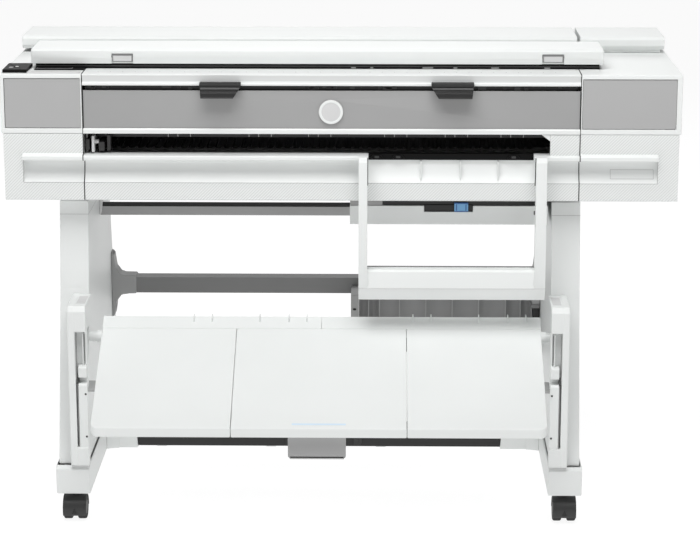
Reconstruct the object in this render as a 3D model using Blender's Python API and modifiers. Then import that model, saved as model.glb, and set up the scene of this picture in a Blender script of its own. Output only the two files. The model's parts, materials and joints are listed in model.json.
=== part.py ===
"""Large format plotter with a top scanner, an input tray for sheets, a stacker and a castered stand."""
import math

import bmesh
import bpy
from mathutils import Matrix, Vector

# Metres. X runs to the right of someone facing the machine, Z up from the floor.
# Outlines give "depth", the distance behind the body's front face; Y = FRONT + depth.
FRONT = -0.1435
BODY_DEPTH = 0.459
UPPER_HALF_WIDTH = 0.698
LOWER_HALF_WIDTH = 0.6945
LEFT_SEAM = -0.530
RIGHT_SEAM = 0.491
SEAM_GAP = 0.0003
BODY_BOTTOM = 0.6728
WAIST = 0.8126
DECK = 0.9365
WALL = 0.004

LEG_WIDTH = 0.060
LEFT_LEG = -0.589
RIGHT_LEG = 0.439
LEG_TOP = 0.6620
FOOT_EXTRA = 0.005
FOOT_FRONT = -0.0935
FOOT_BACK = 0.545
FOOT_BOTTOM = 0.063

LIP = (0.7586, 0.7690)
POCKET_DEPTH = 0.0175
SLOT_RIGHT = 0.426

LID_HINGE = (0.1925, 0.9500)
SCANNER_HINGE = (0.2900, 0.9180)
ROLL_COVER_HINGE = (0.4520, 0.9470)
INK_DOOR_HINGE = (0.0030, 0.8270)
PANEL_HINGE = (0.0130, 0.9385)
FRAME_HINGE = (-0.0245, 0.7620)
TRAY_AXIS = (-0.0225, 0.3870)
LEVER_AXIS = (-0.0520, 0.2920)
FEED_ROLLER_AXIS = (0.2150, 0.7580)
EXIT_ROLLER_AXIS = (0.0450, 0.7580)
SPINDLE_AXIS = (0.3750, 0.8300)
PULLEY_AXIS = (-0.6600, 0.1900)
PULLEY_RADIUS = 0.0100

INLET_SPAN = (0.5750, 0.6020)
INLET_HEIGHT = (0.6880, 0.7080)
INLET_GAP = 0.0008

TRAY_LEFT = -0.4995
TRAY_RIGHT = 0.4180
TRAY_BACK = (0.0200, 0.4200)
TRAY_FRONT = (-0.2580, 0.2610)
TRAY_SEAMS = (-0.2176, 0.1370)
STRIP_SEAM = -0.0406
STRIP_SHARE = 0.11
CREASE_SHARE = 0.845

CASTER_RADIUS = 0.0250
CASTER_TRAIL = 0.0120
CASTER_DEPTHS = {"front": -0.0500, "rear": 0.4980}
CASTER_WAYS = {"front": -1, "rear": 1}
CASTER_SIDES = {"left": -0.5590, "right": 0.4698}

FINISHES = {
    "white_shell": ((0.86, 0.87, 0.86), 0.45, 0.0),
    "grey_panel": ((0.44, 0.44, 0.44), 0.50, 0.0),
    "tray_white": ((0.82, 0.84, 0.85), 0.55, 0.0),
    "stand_white": ((0.80, 0.82, 0.80), 0.40, 0.0),
    "stand_grey": ((0.18, 0.18, 0.18), 0.45, 0.0),
    "black_plastic": ((0.012, 0.012, 0.012), 0.45, 0.0),
    "caster_grey": ((0.07, 0.07, 0.07), 0.50, 0.0),
    "steel": ((0.55, 0.55, 0.56), 0.30, 1.0),
    "rubber": ((0.03, 0.03, 0.03), 0.80, 0.0),
    "latch_blue": ((0.10, 0.30, 0.62), 0.40, 0.0),
    "glass": ((0.85, 0.90, 0.90), 0.05, 0.0),
}

# How each extrusion axis turns a flat outline's own x, y and z into the model's.
OUTLINE_TURNS = {
    "X": Matrix(((0, 0, 1), (1, 0, 0), (0, 1, 0))),
    "Y": Matrix(((1, 0, 0), (0, 0, -1), (0, 1, 0))),
    "Z": Matrix.Identity(3),
}


def clear_scene():
    for item in list(bpy.data.objects):
        bpy.data.objects.remove(item, do_unlink=True)


def new_collection(name):
    group = bpy.data.collections.new(name)
    bpy.context.scene.collection.children.link(group)
    return group


def make_materials():
    materials = {}
    for name, (colour, roughness, metallic) in FINISHES.items():
        material = bpy.data.materials.new(name)
        material.use_nodes = True
        shader = material.node_tree.nodes["Principled BSDF"]
        shader.inputs["Base Color"].default_value = (*colour, 1.0)
        shader.inputs["Roughness"].default_value = roughness
        shader.inputs["Metallic"].default_value = metallic
        materials[name] = material
    return materials


clear_scene()
PARTS = new_collection("large_format_plotter")
CUTTERS = new_collection("cutters")
MATERIALS = make_materials()


def place(name, mesh, finish, location, rotation=None):
    """Link a mesh as a piece, or as a hidden tool when it has no finish."""
    piece = bpy.data.objects.new(name, mesh)
    piece.location = location
    if rotation is not None:
        piece.rotation_euler = rotation.to_euler()
    if finish is None:
        CUTTERS.objects.link(piece)
        piece.hide_render = True
        piece.display_type = 'WIRE'
    else:
        PARTS.objects.link(piece)
        mesh.materials.append(MATERIALS[finish])
    return piece


def extrude(name, outlines, axis, start, end, finish):
    """Closed solid from a flat outline, and any holes in it, drawn from start to end along an axis."""
    curve = bpy.data.curves.new(name, 'CURVE')
    curve.dimensions = '2D'
    curve.fill_mode = 'BOTH'
    curve.extrude = (end - start) / 2
    for outline in outlines:
        spline = curve.splines.new('POLY')
        spline.points.add(len(outline) - 1)
        for point, (u, v) in zip(spline.points, outline):
            point.co = (u, v, 0.0, 1.0)
        spline.use_cyclic_u = True
    flat = bpy.data.objects.new(name, curve)
    PARTS.objects.link(flat)
    depsgraph = bpy.context.evaluated_depsgraph_get()
    mesh = bpy.data.meshes.new_from_object(flat.evaluated_get(depsgraph))
    bpy.data.objects.remove(flat, do_unlink=True)
    shape = bmesh.new()
    shape.from_mesh(mesh)
    bmesh.ops.remove_doubles(shape, verts=shape.verts, dist=0.00001)
    shape.to_mesh(mesh)
    shape.free()
    turn = OUTLINE_TURNS[axis]
    middle = turn @ Vector((0.0, 0.0, 1.0)) * (start + end) / 2
    if axis == "Y":
        middle = Vector((0.0, (start + end) / 2, 0.0))
    return place(name, mesh, finish, middle, turn)


def across(name, outline, left, right, finish, holes=()):
    """Extrusion along X of an outline in (depth, height)."""
    outlines = [[(FRONT + depth, height) for depth, height in line] for line in (outline, *holes)]
    return extrude(name, outlines, "X", left, right, finish)


def frontal(name, outline, near, far, finish, holes=()):
    """Extrusion from one depth to another of an outline in (x, height)."""
    return extrude(name, [outline, *holes], "Y", FRONT + near, FRONT + far, finish)


def upright(name, outline, bottom, top, finish, holes=()):
    """Extrusion along Z of an outline in (x, depth)."""
    outlines = [[(x, FRONT + depth) for x, depth in line] for line in (outline, *holes)]
    return extrude(name, outlines, "Z", bottom, top, finish)


def block(name, x, depth, height, finish, bevel=0.0):
    """Rectangular piece between two corners, its edges rounded when a bevel is given."""
    low = Vector((x[0], FRONT + depth[0], height[0]))
    high = Vector((x[1], FRONT + depth[1], height[1]))
    mesh = bpy.data.meshes.new(name)
    shape = bmesh.new()
    bmesh.ops.create_cube(shape, size=1.0)
    bmesh.ops.scale(shape, vec=high - low, verts=shape.verts)
    shape.to_mesh(mesh)
    shape.free()
    piece = place(name, mesh, finish, (low + high) / 2)
    if bevel:
        rounding = piece.modifiers.new("rounded_edges", 'BEVEL')
        rounding.width = bevel
        rounding.segments = 1
    return piece


def turned(name, profile, centre, axis, finish, steps=16):
    """Turned solid: (radius, place along the axis) from the far end back to the near end."""
    mesh = bpy.data.meshes.new(name)
    points = [(radius, 0.0, along) for radius, along in reversed(profile)]
    edges = [(index, index + 1) for index in range(len(points) - 1)]
    mesh.from_pydata(points, edges, [])
    turns = {"X": Matrix.Rotation(math.pi / 2, 3, 'Y'),
             "Y": Matrix.Rotation(-math.pi / 2, 3, 'X'),
             "Z": Matrix.Identity(3)}
    x, depth, height = centre
    piece = place(name, mesh, finish, (x, FRONT + depth, height), turns[axis])
    screw = piece.modifiers.new("turning", 'SCREW')
    screw.steps = steps
    screw.render_steps = steps
    screw.use_merge_vertices = True
    screw.merge_threshold = 0.00001
    return piece


def rod_profile(radius, length):
    return [(0.0, 0.0), (radius, 0.0), (radius, length), (0.0, length)]


def combine(piece, operation, tools):
    for tool in tools:
        modifier = piece.modifiers.new(operation.lower(), 'BOOLEAN')
        modifier.operation = operation
        modifier.solver = 'EXACT'
        modifier.object = tool
    return piece


def cut(piece, *tools):
    return combine(piece, 'DIFFERENCE', tools)


def fuse(piece, *tools):
    return combine(piece, 'UNION', tools)


def pivot(name, x, depth, height, *pieces):
    """Parent moving pieces to an empty that stands on their joint's axis."""
    empty = bpy.data.objects.new(name, None)
    empty.location = (x, FRONT + depth, height)
    PARTS.objects.link(empty)
    for piece in pieces:
        piece.parent = empty
        piece.matrix_parent_inverse = Matrix.Translation(empty.location).inverted()
    return empty


def circle(centre, radius, count=16):
    steps = [2 * math.pi * index / count for index in range(count)]
    return [(centre[0] + radius * math.cos(angle), centre[1] + radius * math.sin(angle)) for angle in steps]


def between(start, end, share):
    return tuple(a + (b - a) * share for a, b in zip(start, end))


# ---- Stand: two hollow legs on hollow feet, three crossbars, four twin-wheel casters.

def make_leg(name, left):
    right = left + LEG_WIDTH
    front = [(0.0475, LEG_TOP), (0.0170, 0.4800), (-0.0780, 0.1256)]
    back = [(0.5180, 0.1256), (0.4840, 0.3000), (0.4460, 0.4840), (0.4080, LEG_TOP)]
    leg = across(name, front + back, left, right, "stand_white")
    inset_front = [(0.0510, LEG_TOP - WALL), (0.0205, 0.4800), (-0.0745, 0.1200)]
    inset_back = [(0.5145, 0.1200), (0.4805, 0.3000), (0.4425, 0.4840), (0.4050, LEG_TOP - WALL)]
    hollow = across(name + "_hollow", inset_front + inset_back, left + 0.003, right - 0.003, None)
    return cut(leg, hollow)


def make_foot(name, left):
    right = left + LEG_WIDTH + 2 * FOOT_EXTRA
    outline = [(FOOT_FRONT, 0.1180), (FOOT_FRONT, FOOT_BOTTOM + 0.004), (FOOT_FRONT + 0.004, FOOT_BOTTOM),
               (FOOT_BACK - 0.004, FOOT_BOTTOM), (FOOT_BACK, FOOT_BOTTOM + 0.004), (FOOT_BACK, 0.1010),
               (FOOT_BACK - 0.010, 0.1100), (0.5250, 0.1252), (-0.0865, 0.1252)]
    foot = across(name, outline, left, right, "stand_white")
    inset = [(FOOT_FRONT + WALL, 0.1180), (FOOT_FRONT + WALL, 0.0750), (FOOT_BACK - WALL, 0.0750),
             (FOOT_BACK - WALL, 0.1000), (0.5200, 0.1300), (-0.0800, 0.1300)]
    hollow = across(name + "_hollow", inset, left + WALL, right - WALL, None)
    return cut(foot, hollow)


def make_crossbars():
    left = LEFT_LEG + LEG_WIDTH + SEAM_GAP
    right = RIGHT_LEG - SEAM_GAP
    block("upper_crossbar", (left, right), (0.234, 0.272), (0.590, 0.611), "stand_grey")
    rear = block("rear_crossbar", (left, right), (0.418, 0.456), (0.369, 0.405), "stand_grey")
    for name, root, way in (("left", left, 1), ("right", right, -1)):
        flare = [(root, 0.4640), (root + way * 0.006, 0.4560), (root + way * 0.010, 0.4250),
                 (root + way * 0.022, 0.4100), (root + way * 0.055, 0.4050), (root + way * 0.055, 0.3690),
                 (root + way * 0.022, 0.3640), (root + way * 0.010, 0.3480), (root + way * 0.006, 0.3180),
                 (root, 0.3100)]
        fuse(rear, frontal(name + "_flare", flare, 0.4185, 0.450, None))
    low_left = left + FOOT_EXTRA
    low_right = right - FOOT_EXTRA
    lower = block("lower_crossbar", (low_left, low_right), (0.214, 0.252), (0.070, 0.118), "black_plastic")
    for name, near, far in (("left", low_left, low_left + 0.038), ("right", low_right - 0.038, low_right)):
        fuse(lower, block(name + "_shoe", (near, far), (0.206, 0.260), (0.064, 0.128), None))


def make_caster(name, x, depth, way):
    """Hood and stem swivel about a vertical axis; the twin wheels roll on an axle to one side of it."""
    wheel_depth = depth + way * CASTER_TRAIL
    profile = [(-0.0290, 0.0300), (-0.0260, 0.0440), (-0.0140, 0.0545), (0.0040, 0.0545), (0.0120, 0.0440),
               (0.0120, 0.0160), (-0.0100, 0.0100), (-0.0200, 0.0140)]
    hood = [(wheel_depth + way * offset, height) for offset, height in profile]
    axle_hole = circle((wheel_depth, CASTER_RADIUS), 0.0066, 12)
    fork = across(name + "_fork", hood, x - 0.0045, x + 0.0045, "caster_grey", holes=[axle_hole])
    fuse(fork, turned(name + "_stem", rod_profile(0.0110, 0.0120), (x, depth, 0.0507), "Z", None))
    profile = [(0.0, -0.0240), (0.0150, -0.0240), (0.0185, -0.0225), (0.0230, -0.0240), (CASTER_RADIUS, -0.0215),
               (CASTER_RADIUS, -0.0075), (0.0235, -0.0058), (0.0060, -0.0058), (0.0060, 0.0058),
               (0.0235, 0.0058), (CASTER_RADIUS, 0.0075), (CASTER_RADIUS, 0.0215), (0.0230, 0.0240),
               (0.0185, 0.0225), (0.0150, 0.0240), (0.0, 0.0240)]
    wheels = turned(name + "_wheels", profile, (x, wheel_depth, CASTER_RADIUS), "X", "rubber", steps=20)
    pivot(name + "_swivel_axis", x, depth, 0.0507, fork)
    pivot(name + "_wheel_axis", x, wheel_depth, CASTER_RADIUS, wheels)


# ---- Stacker: arms on the feet, a tray that folds about pins in them, two hook levers.

def make_tray_arm(name, left, right, inner):
    outline = [(-0.0980, 0.1256), (-0.0980, 0.4600), (-0.0900, 0.4710), (0.0130, 0.4710), (0.0130, 0.4660),
               (-0.0784, 0.1256)]
    arm = across(name, outline, left, right, "stand_white")
    toward = 1 if inner == right else -1
    socket_start = inner - 0.0200 if toward == 1 else inner - 0.0100
    socket = turned(name + "_socket", rod_profile(0.0112, 0.0300), (socket_start, *TRAY_AXIS), "X", None)
    pocket = block(name + "_pocket", sorted((inner - toward * 0.008, inner + toward * 0.010)),
                   (-0.0880, -0.0180), (0.3180, 0.3700), None)
    lever_slot = block(name + "_lever_slot", sorted((inner - toward * 0.0220, inner + toward * 0.010)),
                       (-0.0990, -0.0300), (0.2680, 0.3140), None)
    return cut(arm, socket, pocket, lever_slot)


def make_lever(name, low, high):
    hub = circle(LEVER_AXIS, 0.0075, 12)
    around_back = hub[8:] + hub[:5]
    outline = around_back + [(-0.0680, 0.2940), (-0.0800, 0.2880), (-0.0800, 0.2830), (-0.0640, 0.2840)]
    lever = across(name, outline, low, high, "grey_panel")
    pivot(name + "_axis", low, *LEVER_AXIS, lever)


def tray_point(share, drop=0.0):
    depth, height = between(TRAY_BACK, TRAY_FRONT, share)
    return (depth, height - drop)


def make_tray():
    strip = [tray_point(0.0), tray_point(0.0, 0.020), tray_point(STRIP_SHARE, 0.020), tray_point(STRIP_SHARE)]
    seam = STRIP_SHARE + 0.002
    front_low = (TRAY_FRONT[0], TRAY_FRONT[1] - 0.019)
    panel = [tray_point(seam), tray_point(seam, 0.012), tray_point(0.80, 0.012), tray_point(0.86, 0.019),
             (TRAY_FRONT[0] + 0.004, front_low[1]), front_low, TRAY_FRONT,
             tray_point(CREASE_SHARE, -0.0008)]
    pieces = []
    for name, left, right in (("tray_strip_left", TRAY_LEFT, STRIP_SEAM - SEAM_GAP),
                              ("tray_strip_right", STRIP_SEAM + SEAM_GAP, TRAY_RIGHT)):
        piece = across(name, strip, left, right, "tray_white")
        for offset in (0.190, 0.228, 0.328, 0.389, 0.427):
            fin = [(0.0215, 0.4050), (0.0215, 0.4255), (0.0050, 0.4200), (0.0050, 0.4050)]
            edge = left + offset
            fuse(piece, across(name + "_fin", fin, edge, edge + 0.0022, None))
        pieces.append(piece)
    edges = (TRAY_LEFT, *TRAY_SEAMS, TRAY_RIGHT)
    for name, left, right in zip(("left", "centre", "right"), edges, edges[1:]):
        pieces.append(across("tray_panel_" + name, panel, left + SEAM_GAP, right - SEAM_GAP, "tray_white"))
    for piece, start in ((pieces[2], TRAY_LEFT - 0.0260), (pieces[4], TRAY_RIGHT - 0.0020)):
        fuse(piece, turned(piece.name + "_pin", rod_profile(0.0105, 0.0280), (start, *TRAY_AXIS), "X", None))
    handle = [(-0.2400, 0.2415), (-0.2400, 0.1950), (-0.2350, 0.1900), (-0.2120, 0.1900), (-0.2120, 0.1940),
              (-0.2320, 0.1950), (-0.2360, 0.2000), (-0.2360, 0.2415)]
    pieces.append(across("tray_handle", handle, -0.1030, 0.0140, "grey_panel"))
    pivot("tray_axis", (TRAY_LEFT + TRAY_RIGHT) / 2, *TRAY_AXIS, *pieces)


# ---- Body: a chassis inside side housings, a fascia with a moulded lip, and covers.

def make_chassis():
    chassis = block("chassis", (-0.6900, 0.6900), (0.060, 0.4520), (0.6622, 0.6724), "black_plastic")
    notch_width = 0.0075
    spindle_depth, spindle_height = SPINDLE_AXIS
    plate = [(0.0300, 0.6700), (0.4560, 0.6700), (0.4560, 0.9050), (spindle_depth + notch_width, 0.9050),
             (spindle_depth + notch_width, spindle_height - notch_width),
             (spindle_depth - notch_width, spindle_height - notch_width),
             (spindle_depth - notch_width, 0.9050), (0.2620, 0.9050), (0.2620, 0.7830), (0.0640, 0.7830),
             (0.0640, 0.9050), (0.0300, 0.9050)]
    holes = [circle(FEED_ROLLER_AXIS, 0.0064, 12), circle(EXIT_ROLLER_AXIS, 0.0044, 12)]
    for name, left in (("left", -0.5275), ("right", 0.4855)):
        fuse(chassis, across(name + "_side_plate", plate, left, left + 0.003, None, holes=holes))
    fuse(chassis, block("back_plate", (-0.5275, 0.4885), (0.4540, 0.4580), (0.6700, 0.9380), None))
    fuse(chassis, block("back_plate_foot", (-0.5275, 0.4885), (0.4480, 0.4560), (0.6650, 0.6760), None))
    return chassis


def make_upper_housing(name, outer, inner):
    left, right = sorted((outer, inner))
    shell = [(0.0, WAIST + SEAM_GAP), (0.0, DECK - 0.002), (0.002, DECK), (BODY_DEPTH - 0.002, DECK),
             (BODY_DEPTH, DECK - 0.002), (BODY_DEPTH, WAIST + SEAM_GAP)]
    inset = [(BODY_DEPTH - WALL, WAIST + SEAM_GAP), (BODY_DEPTH - WALL, DECK - WALL), (WALL, DECK - WALL),
             (WALL, WAIST + SEAM_GAP)]
    housing = across(name, shell + inset, left, right, "white_shell")
    wall = (outer, outer + WALL) if outer < inner else (outer - WALL, outer)
    fuse(housing, across(name + "_side", shell, *wall, None))
    window_edges = (left + 0.0075, right - 0.0035) if outer < inner else (left + 0.0030, right - 0.0110)
    return cut(housing, block(name + "_window", window_edges, (-0.010, 0.012), (0.8235, 0.9271), None))


def make_lower_housing(name, outer, pocket_end, inner):
    """The front has a moulded lip over a pocket that stops short of the outer end."""
    left, right = sorted((outer, inner))
    top = WAIST - SEAM_GAP
    lip_low, lip_high = LIP
    pocket_front = [(0.0, top), (0.0, lip_high + 0.003), (-0.010, lip_high), (-0.012, lip_high - 0.002),
                    (-0.012, lip_low + 0.002), (-0.010, lip_low), (0.0160, lip_low - 0.001),
                    (POCKET_DEPTH, 0.7480), (0.0140, 0.7320), (0.0070, 0.7180), (0.0, 0.7105),
                    (0.0, BODY_BOTTOM + 0.002), (0.002, BODY_BOTTOM)]
    rear = [(BODY_DEPTH, BODY_BOTTOM), (BODY_DEPTH, top), (BODY_DEPTH - WALL, top),
            (BODY_DEPTH - WALL, BODY_BOTTOM + WALL), (0.0215, BODY_BOTTOM + WALL), (0.0215, top)]
    flush_front = [(0.0, top), (0.0, BODY_BOTTOM + 0.002), (0.002, BODY_BOTTOM)]
    split = pocket_end
    if outer < inner:
        pocket_span, flush_span, wall_span = (split, right), (left, split + 0.0005), (left, left + WALL)
    else:
        pocket_span, flush_span, wall_span = (left, split), (split - 0.0005, right), (right - WALL, right)
    housing = across(name, pocket_front + rear, *pocket_span, "white_shell")
    fuse(housing, across(name + "_end", flush_front + rear, *flush_span, None))
    wall = [(0.0, top), *flush_front[1:], (BODY_DEPTH, BODY_BOTTOM), (BODY_DEPTH, top)]
    return fuse(housing, across(name + "_side", wall, *wall_span, None))


def make_lower_housings():
    """The right one's rear wall has a window for the power inlet."""
    make_lower_housing("left_lower_housing", -LOWER_HALF_WIDTH, -0.6556, LEFT_SEAM - SEAM_GAP)
    right = make_lower_housing("right_lower_housing", LOWER_HALF_WIDTH, 0.6520, RIGHT_SEAM + SEAM_GAP)
    left_edge, right_edge = INLET_SPAN
    low, high = INLET_HEIGHT
    cut(right, block("inlet_window", (left_edge - INLET_GAP, right_edge + INLET_GAP),
                     (BODY_DEPTH - 2 * WALL, BODY_DEPTH + WALL), (low - INLET_GAP, high + INLET_GAP), None))


def make_fascia():
    left = LEFT_SEAM + SEAM_GAP
    right = RIGHT_SEAM - SEAM_GAP
    lip_low, lip_high = LIP
    outline = [(0.0290, lip_high), (-0.010, lip_high), (-0.012, lip_high - 0.002), (-0.012, lip_low + 0.002),
               (-0.010, lip_low), (0.0160, lip_low - 0.001), (POCKET_DEPTH, 0.7480), (0.0140, 0.7320),
               (0.0070, 0.7180), (0.0, 0.7105), (0.0, BODY_BOTTOM + 0.002), (0.002, BODY_BOTTOM),
               (0.0290, BODY_BOTTOM), (0.0290, BODY_BOTTOM + WALL), (0.004, BODY_BOTTOM + WALL), (0.004, 0.7120),
               (0.0110, 0.7200), (0.0215, 0.7440), (0.0215, lip_high - WALL), (0.0290, lip_high - WALL)]
    fascia = across("front_fascia", outline, left, right, "white_shell")
    ear = block("fascia_ear", (SLOT_RIGHT + 0.004, right), (0.0, 0.0050), (lip_high - 0.003, WAIST - SEAM_GAP), None)
    fuse(fascia, ear)
    cut(fascia, block("fascia_notch", (0.0565, 0.3975), (-0.020, 0.0130), (0.7566, 0.7750), None))
    for x in (0.165, 0.246, 0.324):
        rib = [(0.0030, 0.7150), (0.0180, 0.7555), (0.0035, 0.7555)]
        fuse(fascia, across("fascia_rib", rib, x - 0.0012, x + 0.0012, None))
    return fascia


def make_front_panels():
    left = LEFT_SEAM + SEAM_GAP
    right = RIGHT_SEAM - SEAM_GAP
    base = WAIST + SEAM_GAP
    outline = [(0.0, base), (0.0, 0.8230), (0.0020, 0.8240), (0.0020, 0.9025), (0.0060, 0.9025), (0.0060, 0.8240),
               (0.0200, 0.8190), (0.0200, base)]
    centre = across("centre_front_panel", outline, left, right, "grey_panel")
    fuse(centre, turned("panel_boss", rod_profile(0.0250, 0.0040), (-0.0200, -0.0008, 0.8590), "Y", None, steps=32))
    block("left_front_panel", (-0.6895, -0.5340), (0.0015, 0.0045), (0.8245, 0.9261), "grey_panel")
    door = block("ink_door", (0.4948, 0.6865), (0.0015, 0.0045), (0.8245, 0.9261), "grey_panel")
    pivot("ink_door_axis", 0.5906, *INK_DOOR_HINGE, door)


def make_rear_covers():
    def hood(low, high):
        return [(0.3060, low), (0.3000, low + 0.008), (0.3000, high - 0.006), (0.3060, high), (0.4550, high),
                (BODY_DEPTH, high - 0.004), (BODY_DEPTH, low)]

    def inset(low, high):
        return [(BODY_DEPTH - 0.003, low), (BODY_DEPTH - 0.003, high - 0.003), (0.3040, high - 0.003),
                (0.3035, low + 0.008), (0.3095, low)]

    low, high = 0.9440, 0.9720
    cover = across("roll_cover", hood(low, high) + inset(low, high), -0.6960, 0.5056, "white_shell")
    for name, left in (("left", -0.6960), ("right", 0.5026)):
        fuse(cover, across("cover_end_" + name, hood(low, high), left, left + 0.003, None))
    pivot("roll_cover_axis", 0.0, *ROLL_COVER_HINGE, cover)
    top = across("rear_right_housing", hood(0.9440, high), 0.5120, 0.6940, "white_shell")
    spacer = block("rear_right_spacer", (0.5200, 0.6860), (0.3100, 0.4560), (DECK + SEAM_GAP, 0.9460), None)
    fuse(top, spacer)


# ---- Scanner: it lifts on a rear hinge by two pull handles; its lid opens on its own hinge.

def make_scanner():
    left = LEFT_SEAM + SEAM_GAP
    right = RIGHT_SEAM - SEAM_GAP
    shell = [(0.0, 0.9130), (0.0, DECK - 0.002), (0.002, DECK - 0.0002), (0.2970, DECK - 0.0002), (0.2970, 0.9150)]
    inset = [(0.2930, 0.9150), (0.2930, DECK - WALL), (WALL, DECK - WALL), (WALL, 0.9130)]
    bed = across("scan_bed", shell + inset, left, right, "white_shell")
    for name, edge in (("left", left), ("right", right - 0.003)):
        fuse(bed, across("bed_end_" + name, shell, edge, edge + 0.003, None))
    light_path = (-0.4800, 0.4400), (0.1150, 0.1500)
    cut(bed, block("bed_window", *light_path, (0.9200, 0.9500), None))
    base = block("scanner_base", (-0.6340, 0.5340), (0.0750, 0.1900), (DECK + SEAM_GAP, 0.9465), "black_plastic")
    cut(base, block("base_window", *light_path, (0.9300, 0.9500), None))
    cut(base, block("glass_seat", (-0.4900, 0.4500), (0.1080, 0.1570), (0.9432, 0.9600), None))
    glass = block("scan_glass", (-0.4896, 0.4496), (0.1084, 0.1566), (0.9435, 0.9462), "glass")
    handles = []
    grip = [(-0.0004, 0.9210), (-0.0180, 0.9180), (-0.0250, 0.9020), (-0.0260, 0.8910), (-0.0220, 0.8910),
            (-0.0140, 0.8990), (-0.0004, 0.9060)]
    for name, near, far in (("left_pull_handle", -0.2880, -0.2040), ("right_pull_handle", 0.1850, 0.2720)):
        handles.append(across(name, grip, near, far, "black_plastic"))
    pivot("scanner_axis", 0.0, *SCANNER_HINGE, bed, base, glass, *handles)


def make_scan_lid():
    shell = [(0.0740, 0.9470), (0.0680, 0.9580), (0.0680, 0.9740), (0.0740, 0.9780), (0.1900, 0.9780),
             (0.1960, 0.9740), (0.1960, 0.9470)]
    inset = [(0.1925, 0.9470), (0.1925, 0.9745), (0.0715, 0.9745), (0.0715, 0.9590), (0.0765, 0.9470)]
    left, right = -0.6420, 0.5410
    lid = across("scan_lid", shell + inset, left, right, "white_shell")
    for name, edge in (("left", left), ("right", right - 0.003)):
        fuse(lid, across("lid_end_" + name, shell, edge, edge + 0.003, None))
    pivot("scan_lid_axis", 0.0, *LID_HINGE, lid)
    for name, near, far in (("left_lid_latch", -0.4757, -0.4310), ("right_lid_latch", 0.4150, 0.4600)):
        cut(lid, block(name + "_pocket", (near, far), (0.060, 0.0760), (0.9510, 0.9680), None))
        latch = block(name, (near + 0.0006, far - 0.0006), (0.0705, 0.0750), (0.9516, 0.9674), "grey_panel")
        pivot(name + "_axis", (near + far) / 2, 0.0705, 0.9595, latch)


def make_control_panel():
    panel = block("control_panel", (-0.6940, -0.6440), (0.0120, 0.1000), (DECK + SEAM_GAP, 0.9435), "black_plastic",
                  bevel=0.0008)
    seat = turned("button_seat", rod_profile(0.0056, 0.0100), (-0.6800, 0.0420, 0.9395), "Z", None)
    cut(panel, seat)
    button = turned("power_button", rod_profile(0.0050, 0.0020), (-0.6800, 0.0420, 0.9418), "Z", "grey_panel")
    pivot("control_panel_axis", -0.6690, *PANEL_HINGE, panel)
    pivot("power_button_axis", -0.6800, 0.0420, 0.9418, button)


# ---- Sheet feeder under the body, its swing-out frame, stop and paper deflector.

def make_sheet_feeder():
    tray = block("sheet_tray", (0.0180, 0.4315), (0.0475, 0.4000), (0.6130, 0.6530), "white_shell")
    cut(tray, block("tray_well", (0.0205, 0.4290), (0.0505, 0.3970), (0.6160, 0.6700), None))
    cut(tray, block("tray_notch", (0.1730, 0.2750), (0.0400, 0.0600), (0.6400, 0.6700), None))
    stop = block("sheet_stop", (0.2360, 0.2650), (0.0450, 0.0620), (0.6404, 0.6600), "latch_blue", bevel=0.0010)
    pivot("sheet_stop_axis", 0.2505, 0.0475, 0.6500, stop)
    arm = [(-0.0180, 0.7700), (-0.0300, 0.7700), (-0.0350, 0.7600), (-0.0440, 0.6400), (-0.0470, 0.4990),
           (-0.0400, 0.4730), (-0.0150, 0.4730), (-0.0180, 0.6400)]
    frame = across("sheet_frame", arm, 0.0370, 0.0550, "white_shell")
    fuse(frame, across("sheet_frame_right", arm, 0.4000, 0.4225, None))
    bar = [(-0.0400, 0.4730), (-0.0470, 0.4990), (-0.0400, 0.5320), (-0.0360, 0.5360), (-0.0150, 0.5360),
           (-0.0150, 0.4730)]
    fuse(frame, across("sheet_frame_bar", bar, 0.0500, 0.4050, None))
    pivot("sheet_frame_axis", 0.2300, *FRAME_HINGE, frame)
    ribs = (0.0560, 0.0800, 0.1250, 0.1840, 0.2430, 0.3020, 0.3620, 0.3950, 0.4200)
    plan = [(0.0160, 0.4176), (0.0160, 0.3300), (0.0330, 0.3300), (0.0330, 0.3450)]
    for x in ribs:
        plan += [(x - 0.0011, 0.3450), (x - 0.0011, 0.3250), (x + 0.0011, 0.3250), (x + 0.0011, 0.3450)]
    plan += [(0.4370, 0.3450), (0.4370, 0.3300), (0.4380, 0.3300), (0.4380, 0.4176), (0.4280, 0.4176),
             (0.4280, 0.3480), (0.0330, 0.3480), (0.0330, 0.4176)]
    upright("sheet_deflector", plan, 0.2500, 0.3880, "grey_panel")


# ---- Inside: platen, rollers, carriage on its rail with belt and pulley, roll spindle, ink, power.

def make_platen():
    left, right, pitch = -0.5200, 0.4250, 0.0180
    top, valley = 0.7745, 0.7715
    comb = [(right, 0.7695), (left, 0.7695), (left, top)]
    count = int((right - left) / pitch)
    for index in range(1, count):
        x = left + index * pitch
        comb += [(x - 0.0130, top), (x - 0.0125, valley), (x, valley), (x + 0.0005, top)]
    comb.append((right, top))
    return frontal("platen", list(reversed(comb)), 0.0620, 0.1960, "black_plastic")


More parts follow.
